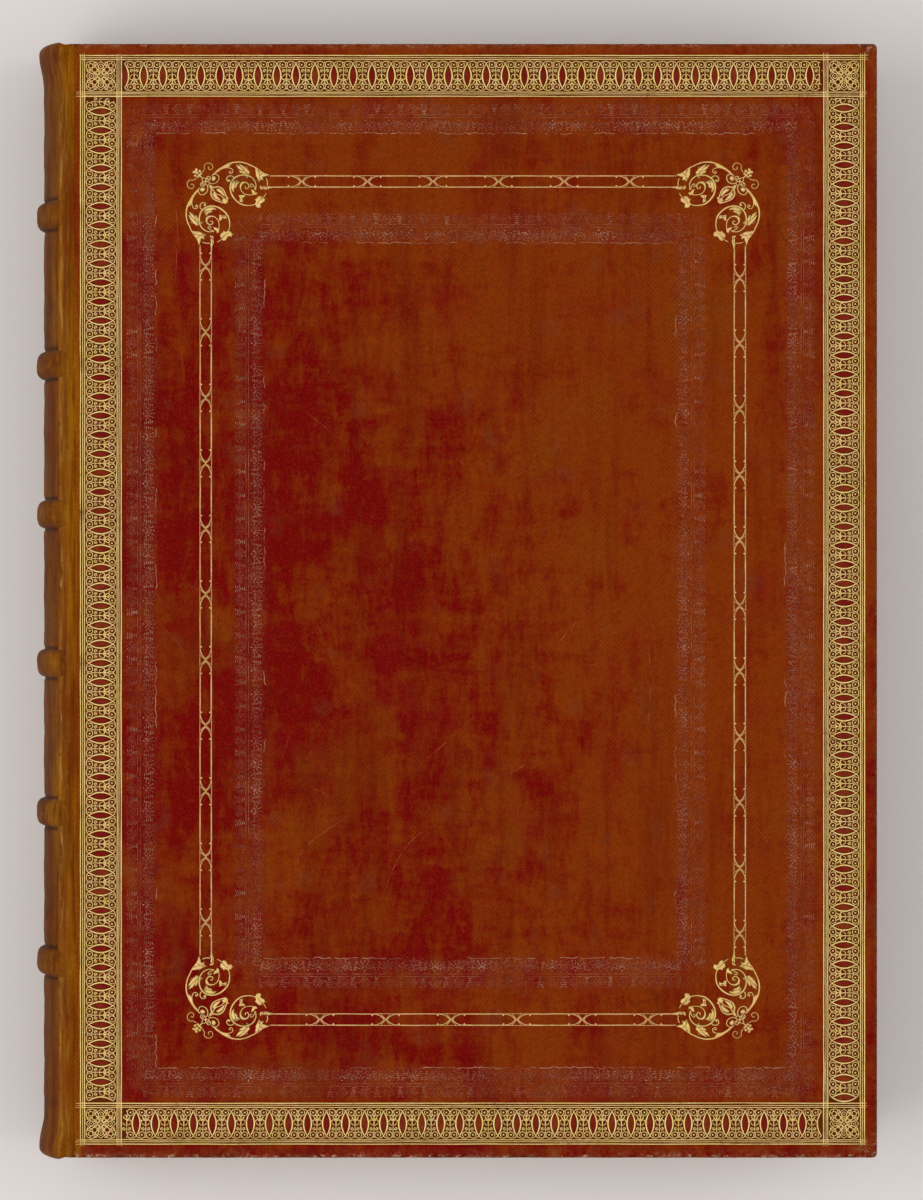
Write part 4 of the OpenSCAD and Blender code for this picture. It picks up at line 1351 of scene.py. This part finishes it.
def blind_material():
    """Blind tooling worn pale, in patches."""
    s = Shade("blind_tooling_worn")
    patches = s.noise(60, 4, 0.7, 0.3)
    pale = s.mix(s.ramp(s.noise(130, 4, 0.7), 0.4, 0.6), srgb(166, 88, 58), srgb(188, 142, 112))
    colour = s.mix(s.ramp(patches, 0.38, 0.6, 0.2, 1.0), srgb(112, 16, 4), pale)
    colour = s.stain(colour, srgb(100, 12, 2), s.noise(700, 3, 0.7), 0.45, 0.62, 0.75)
    normal = s.bump(s.noise(900, 3, 0.6), 0.00006, 0.5)
    return s.finish(colour, s.sheen(patches, 0.45, 0.6), normal, 0.2)


def line_material():
    """The pale line beside the blind tooling."""
    s = Shade("blind_line_pale")
    patches = s.noise(70, 4, 0.7, 0.3)
    colour = s.mix(s.ramp(patches, 0.36, 0.56), srgb(140, 58, 34), srgb(190, 146, 116))
    colour = s.stain(colour, srgb(120, 34, 16), s.noise(600, 3, 0.7), 0.5, 0.66, 0.6)
    normal = s.bump(s.noise(900, 3, 0.6), 0.00006, 0.5)
    return s.finish(colour, s.sheen(patches, 0.45, 0.6), normal, 0.1)


def scratch_material():
    s = Shade("scratched_leather")
    colour = s.mix(s.ramp(s.noise(200, 4, 0.7), 0.4, 0.62), srgb(126, 22, 4), srgb(164, 78, 46))
    normal = s.bump(s.noise(1200, 3, 0.6), 0.00005, 0.5)
    return s.finish(colour, s.sheen(s.noise(150), 0.45, 0.6), normal, 0.06)


def almond_material():
    s = Shade("almond_leather")
    colour = s.mix(s.ramp(s.noise(60, 3, 0.6, 0.3), 0.4, 0.62), srgb(112, 14, 4), srgb(124, 46, 14))
    colour = s.stain(colour, srgb(84, 18, 2), s.noise(420, 3, 0.7), 0.45, 0.65, 0.5)
    normal = s.bump(s.noise(900, 3, 0.6), 0.00004, 0.5)
    return s.finish(colour, s.sheen(s.noise(200), 0.45, 0.6), normal, 0.06)


def back_material():
    """Amber leather, with painted shade where it stands upright and in its creases, and rubbed on the bands.
    """
    s = Shade("back_leather_worn")
    colour = s.stain(amber(s), srgb(92, 36, 2), s.noise(60, 4, 0.6), 0.5, 0.7, 0.5)
    # Painted shade where the back stands upright
    colour = s.mix(s.times(s.attribute("steep"), 0.85), colour, srgb(68, 32, 8))
    skin = grain(s)
    colour = s.stain(colour, srgb(56, 24, 2), skin, 0.75, 0.1, 0.4)
    colour = s.stain(colour, srgb(156, 98, 16), s.noise(170, 5, 0.75), 0.42, 0.66, 0.6, s.attribute("wear"))
    # Painted shade in the creases beside the bands and in the fold near the tail
    colour = s.mix(s.times(s.attribute("crease"), 0.85), colour, srgb(44, 20, 6))
    cracks = s.ramp(s.cells(230, "DISTANCE_TO_EDGE", s.stretched((1, 0.35, 1))), 0.0, 0.05, 1, 0)
    cracked = s.times(cracks, s.ramp(s.noise(35, 3), 0.48, 0.62, 0.05, 0.55))
    colour = s.mix(cracked, colour, srgb(60, 30, 10))
    rough = s.math("SUBTRACT", s.noise(200, 4, 0.6), s.times(cracks, 0.3))
    normal = s.bump(rough, 0.0003, 0.4, s.bump(skin, 0.00014, 0.6))
    return s.finish(colour, s.sheen(s.noise(26, 4, 0.62, 0.3), 0.42, 0.6), normal, 0.02)


def page_material():
    """Edges of aged leaves, with spots, and painted shade between the leaves."""
    s = Shade("page_edges_aged")
    leaves = s.wave(1900, "Z", 0.4, 2.0, 3.0)
    bunches = s.noise(900, 2, 0.6, 0, s.stretched((0.02, 0.02, 1)))
    toned = s.noise(22, 4, 0.65, 0.4)
    colour = s.mix(s.ramp(toned, 0.35, 0.65), srgb(226, 206, 166), srgb(200, 170, 124))
    colour = s.stain(colour, srgb(158, 122, 78), bunches, 0.42, 0.65, 0.45)
    # Darker by the tone of each leaf, and painted shade in the gaps between leaves
    colour = s.stain(colour, srgb(132, 98, 58), s.attribute("leaf_tone"), 0.9, 0.1, 0.75)
    # Painted shade in the thin lines between leaves
    colour = s.stain(colour, srgb(112, 82, 48), leaves, 0.5, 0.0, 0.4)
    spots = s.times(s.ramp(s.cells(120), 0.22, 0.08), s.ramp(s.noise(60, 3), 0.5, 0.62))
    colour = s.mix(s.times(spots, 0.5), colour, srgb(138, 94, 52))
    normal = s.bump(leaves, 0.00012, 0.6)
    normal = s.bump(bunches, 0.0003, 0.5, normal)
    return s.finish(colour, s.sheen(toned, 0.78, 0.9), normal, 0.2)


def paper_material(name, light, dark):
    """Laid paper with fibres and brown spots."""
    s = Shade(name)
    toned = s.noise(9, 5, 0.65, 0.3)
    colour = s.mix(s.ramp(toned, 0.36, 0.66), light, dark)
    fibres = s.noise(700, 4, 0.7, 0.2, s.stretched((1, 0.3, 1), (0, 0, 20)))
    colour = s.stain(colour, tuple(v * 0.75 for v in dark), fibres, 0.4, 0.7, 0.3)
    spots = s.times(s.ramp(s.cells(95), 0.2, 0.04), s.ramp(s.noise(30, 3), 0.5, 0.64))
    colour = s.mix(s.times(spots, 0.6), colour, srgb(150, 104, 62))
    laid = s.wave(450, "X", 0.5, 1.0, 1.0)
    colour = s.stain(colour, dark, laid, 0.4, 0.0, 0.08)
    normal = s.bump(fibres, 0.00006, 0.5)
    normal = s.bump(s.noise(40, 4, 0.5), 0.0004, 0.3, normal)
    return s.finish(colour, s.sheen(fibres, 0.75, 0.92), normal, 0.2)


def fibre_material(name, light, dark):
    """Twisted hemp: slanting strands with loose fibres."""
    s = Shade(name)
    strands = s.wave(260, "DIAGONAL", 2.0, 2.0, 2.0)
    fibres = s.noise(1400, 4, 0.7, 0.3, s.stretched((1, 0.2, 1), (0, 0, 35)))
    colour = s.mix(s.ramp(strands, 0.1, 0.7), dark, light)
    colour = s.stain(colour, tuple(min(1, v * 1.3) for v in light), fibres, 0.45, 0.7, 0.6)
    normal = s.bump(strands, 0.0003, 0.7)
    normal = s.bump(fibres, 0.0001, 0.6, normal)
    return s.finish(colour, s.sheen(fibres, 0.75, 0.92), normal, 0.2)


def board_material():
    s = Shade("pasteboard_grey")
    toned = s.noise(60, 5, 0.7)
    layers = s.wave(1300, "Z", 3.0, 2.0, 2.0)
    colour = s.mix(s.ramp(toned, 0.35, 0.65), srgb(148, 128, 98), srgb(120, 100, 74))
    colour = s.stain(colour, srgb(92, 74, 52), layers, 0.5, 0.0, 0.35)
    normal = s.bump(s.noise(800, 4, 0.7), 0.00015, 0.6)
    return s.finish(colour, s.sheen(toned, 0.8, 0.92), normal, 0.2)


def silk_material():
    """Two colours of silk, frayed."""
    s = Shade("endband_silk")
    fray = s.noise(900, 4, 0.7, 0.3)
    colour = s.mix(s.attribute("stripe"), srgb(186, 150, 92), srgb(132, 46, 30))
    colour = s.stain(colour, srgb(110, 84, 48), fray, 0.45, 0.7, 0.5)
    normal = s.bump(s.noise(2200, 3, 0.6, 0.2), 0.00006, 0.7)
    return s.finish(colour, s.sheen(fray, 0.42, 0.65), normal, 0.35)


def joint_material():
    """Amber leather, cracked along the fold."""
    s = Shade("joint_leather_cracked")
    lines = s.ramp(s.noise(480, 4, 0.8, 0.3, s.stretched((1, 0.25, 1))), 0.45, 0.58)
    colour = s.mix(s.times(s.attribute("crack"), lines), amber(s), srgb(178, 132, 58))
    dark = s.noise(300, 4, 0.7, 0.3, s.stretched((1, 0.1, 1)))
    colour = s.stain(colour, srgb(80, 36, 2), dark, 0.58, 0.68, 0.5)
    skin = grain(s)
    colour = s.stain(colour, srgb(60, 24, 2), skin, 0.75, 0.1, 0.3)
    normal = s.bump(s.plus(s.times(lines, 0.5), s.times(skin, 0.4)), 0.0002, 0.6)
    return s.finish(colour, s.sheen(s.noise(40, 4, 0.6), 0.45, 0.65), normal, 0.02)


def floor_material():
    s = Shade("floor_pale")
    cloud = s.noise(3, 3, 0.5)
    colour = s.mix(s.ramp(cloud, 0.35, 0.65, 0.0, 0.3), (0.74, 0.70, 0.67), (0.70, 0.66, 0.63))
    normal = s.bump(s.noise(900, 3, 0.6), 0.00004, 0.4)
    return s.finish(colour, 0.9, normal, 0.1)


# ---------------------------------------------------------------- pieces

def settle(obj, body, slot, *nodes):
    """Says what a piece rides on, and which CAD nodes it stands for; the slot, what it is made of, is not
    used.
    """
    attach(obj, body)
    if nodes:
        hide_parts(*nodes)


def lay(side, name, work, floor, finish, slot="cover_leather", nodes=()):
    """Lays an ornament on a cover, with its floor at a height over the face."""
    verts, quads, tris = work.arrays()
    verts[:, 2] += swell(verts[:, 0], verts[:, 1]) + floor
    piece = make_piece(f"{side}_{name}", *on_side(verts, quads, tris, side), finish)
    settle(piece, f"{side}_cover", slot, *nodes)


# How far the base of the tooling lies under the pressed leather, and how far veins are lifted
ROOT = 0.01
VEIN_LIFT = 0.12
leather = leather_material()
# The third colour of each gold is its painted glint
gold = gold_material("gold_leaf_worn", srgb(238, 206, 108), srgb(247, 206, 132), srgb(254, 238, 172))
gold_line = gold_material("gold_line_worn", srgb(204, 164, 84), srgb(218, 160, 108), srgb(238, 206, 140))
gold_corner = gold_material("gold_corner_worn", srgb(214, 182, 88), srgb(224, 178, 112), srgb(242, 216, 144))
blind_finish = blind_material()
line_finish = line_material()
almond_finish = almond_material()
joint_finish = joint_material()
page_finish = page_material()


def dress_cover(side):
    """The leather of a cover, and all that is tooled on it."""
    verts, quads, tris = cover_skin()
    looks = skin_attributes(verts)
    skin = make_piece(side + "_skin", *on_side(verts, quads, tris, side), leather, weld=True, **looks)
    settle(skin, side + "_cover", "cover_leather", side + "_leather")
    for part, draw, depth, leaf in (("border", border_gilding, BORDER_DEPTH, gold),
                                    ("panel", chain_gilding, CHAIN_DEPTH, gold_line),
                                    ("corners", corner_gilding, CORNER_DEPTH, gold_corner)):
        lay(side, f"gold_{part}", draw(), -depth - ROOT, leaf, "gold_leaf", [f"{side}_gilt_{part}"])
    lay(side, "almonds", border_grounds(), -BORDER_DEPTH - ROOT / 2, almond_finish)
    lay(side, "veins", corner_veins(), VEIN_LIFT - CORNER_DEPTH, almond_finish)
    for part, rect in (("outer", BLIND_OUTER), ("inner", BLIND_INNER)):
        lay(side, f"blind_{part}", blind_tooling(rect), -BLIND_DEPTH - ROOT, blind_finish)
        lay(side, f"blind_line_{part}", blind_lines(rect), -BLIND_DEPTH - ROOT, line_finish)


def dress_back():
    """The leather of the back: where it is rubbed, and painted shade in its creases and where it stands so
    upright that it looks dark from above.
    """
    verts, quads, tris = back_leather()
    x, y, z = verts.T
    theta = np.arctan2(z - MID_Z, BACK_X - x)
    near_band = np.min([np.abs(y - band) for band in BAND_YS], axis=0)
    rub = 0.75 * smooth_step((4.6 - near_band) / 2.5) * np.cos(theta) ** 2
    rub = np.maximum(rub, 0.9 * smooth_step((np.abs(y) - 199) / 3))
    rub = np.maximum(rub, 0.75 * smooth_step(1 - np.abs(theta) / 0.5))
    # Painted shade in the creases beside the bands and in the fold near the tail
    crease = bell((near_band - BAND_W / 2 - 0.6) / 0.6) + 0.8 * bell((y - TAIL_CREASE_Y) / 0.8)
    # The material gets painted shade in two attributes: in the creases, and where the back stands upright
    piece = make_piece("back_leather", verts, quads, tris, back_material(),
                       wear=np.clip(rub, 0, 1), crease=np.clip(crease, 0, 1), steep=bell(theta / 0.45))
    settle(facing_out(piece), "book_block", "spine_leather", "spine_leather")


def dress_pages():
    """The edges of the leaves, and the endbands."""
    verts, quads, tris, tone = page_edges()
    piece = facing_out(make_piece("leaf_edges", verts, quads, tris, page_finish, leaf_tone=tone))
    settle(piece, "book_block", "page_edges")
    silk = silk_material()
    for end, name in ((1, "head"), (-1, "tail")):
        verts, quads, tris, stripe = endband(end)
        piece = facing_out(make_piece(name + "_silk", verts, quads, tris, silk, stripe=stripe))
        settle(piece, "book_block", "silk", name + "_endband")


def flare(y):
    """How far the back flares out towards a cap."""
    return CAP_FLARE * smooth_step((np.abs(y) - (CAP_Y - CAP_ROUND - FLARE_LEN)) / FLARE_LEN)


# Across the joint: heights over the back's shoulder, then places on the cover, out from the joint and up
SHOULDER_LIFTS = np.array([-0.12, 0.14, 0.2, 0.22, 0.24, 0.24, 0.22, 0.2, 0.12])
OVER_COVER = np.array([(-0.05, 0.08), (0.5, 0.13), (1.2, 0.13), (1.9, 0.08), (2.7, -0.16)]) + [JOINT_X, 0]
JOINT_T = 0.45
# The joint ends this far from head and tail, and is divided into this many sections
JOINT_GAP, JOINT_SECTIONS = 0.4, 271


def joint_section(y):
    """A closed section through the leather of a joint."""
    radius = BACK_R + flare(y)
    theta = end_theta(radius) - np.radians(np.linspace(8, 0, len(SHOULDER_LIFTS)))
    x, z = on_back(radius, theta)
    section = np.vstack([np.stack([x, z + SHOULDER_LIFTS - BOOK_T], 1), OVER_COVER])
    ripple = 0.03 * math.sin(y * 0.9) + 0.03 * math.sin(y * 2.3 + 1)
    section[2:9, 1] += np.array([1, -1, 0, -2, 0, 1, -1]) * ripple
    loop = np.vstack([section, section[::-1][1:-1] - [0, JOINT_T]])
    return np.c_[loop[:, 0], np.full(len(loop), y), loop[:, 1]]


def dress_joint(side):
    """The leather that bends over a joint, cracked along its fold."""
    rings = [joint_section(y) for y in np.linspace(JOINT_GAP - HEAD_Y, HEAD_Y - JOINT_GAP, JOINT_SECTIONS)]
    verts = np.concatenate(rings)
    from_joint, y = verts[:, 0] - JOINT_X, verts[:, 1]
    worn = 0.6 + 0.4 * np.sin(y * 0.07 + 1) * np.sin(y * 0.19)
    fold = bell((from_joint + 2.7 + 0.25 * np.sin(y * 0.3)) / 0.5)
    crack = worn * np.maximum(fold, 0.35 * bell((from_joint + 0.2) / 0.7))
    shape = on_side(verts, ring_stack(rings)[:, ::-1], end_caps(rings), side)
    piece = make_piece(side + "_joint", *shape, joint_finish, crack=crack)
    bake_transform(piece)


for side in ("upper", "lower"):
    dress_cover(side)
    dress_joint(side)
dress_back()
dress_pages()
lay("upper", "scratches", scratches(), -ROOT, scratch_material())

# The CAD nodes that stay: each takes the finish of the first word found in its name, or paper
hemp = fibre_material("hemp_cord", srgb(196, 170, 120), srgb(122, 96, 58))
lining = paper_material("lining_paper_aged", srgb(190, 168, 130), srgb(156, 130, 92))
paper = paper_material("endpaper_aged", srgb(214, 196, 158), srgb(188, 160, 116))
finishes = (("text_block", page_finish), ("lining", lining), ("cord", hemp), ("slip", hemp),
            ("board", board_material()))
for name, obj in frame["nodes"].items():
    if not obj.hide_render:
        obj.data.materials.clear()
        obj.data.materials.append(next((finish for word, finish in finishes if word in name), paper))


# ---------------------------------------------------------------- floor, light and camera

def area_light(name, place, size, power, colour):
    """A soft light aimed at the middle of the book."""
    light = bpy.data.lights.new(name, "AREA")
    light.size = size
    light.energy = power
    light.color = colour
    obj = bpy.data.objects.new(name, light)
    obj.location = place
    obj.rotation_euler = (Vector((0, 0, 0.03)) - Vector(place)).to_track_quat("-Z", "Y").to_euler()
    bpy.context.scene.collection.objects.link(obj)


FLOOR_HALF = 3
floor_corners = np.array([(-1, -1, 0), (1, -1, 0), (1, 1, 0), (-1, 1, 0)]) * FLOOR_HALF / MM
floor = make_piece("floor", floor_corners, [[0, 1, 2, 3]], [], floor_material(), smooth=False)

area_light("key", (-1.4, -0.25, 1.7), 1.5, 21, (1.0, 0.98, 0.955))
area_light("fill", (1.5, 0.0, 1.7), 1.5, 11, (0.97, 0.985, 1.0))
world = bpy.data.worlds.new("studio")
world.use_nodes = True
world.node_tree.nodes["Background"].inputs[0].default_value = (0.97, 0.97, 1.0, 1)
world.node_tree.nodes["Background"].inputs[1].default_value = 0.65
bpy.context.scene.world = world
bpy.context.scene.view_settings.view_transform = "Standard"

# The photograph looks straight down: its height on the upper cover, and its middle
CAMERA_ABOVE = 1.9
VIEW_H = 0.4358
CAMERA_FROM_JOINT = 142.9
CAMERA_Y = 0.3
SENSOR_W = 36
camera = bpy.data.cameras.new("camera")
camera.sensor_width = SENSOR_W
camera.lens = SENSOR_W * CAMERA_ABOVE / VIEW_H
cam = bpy.data.objects.new("camera", camera)
cam.location = ((JOINT_X + CAMERA_FROM_JOINT) * MM, CAMERA_Y * MM, BOOK_T * MM + CAMERA_ABOVE)
bpy.context.scene.collection.objects.link(cam)
bpy.context.scene.camera = cam
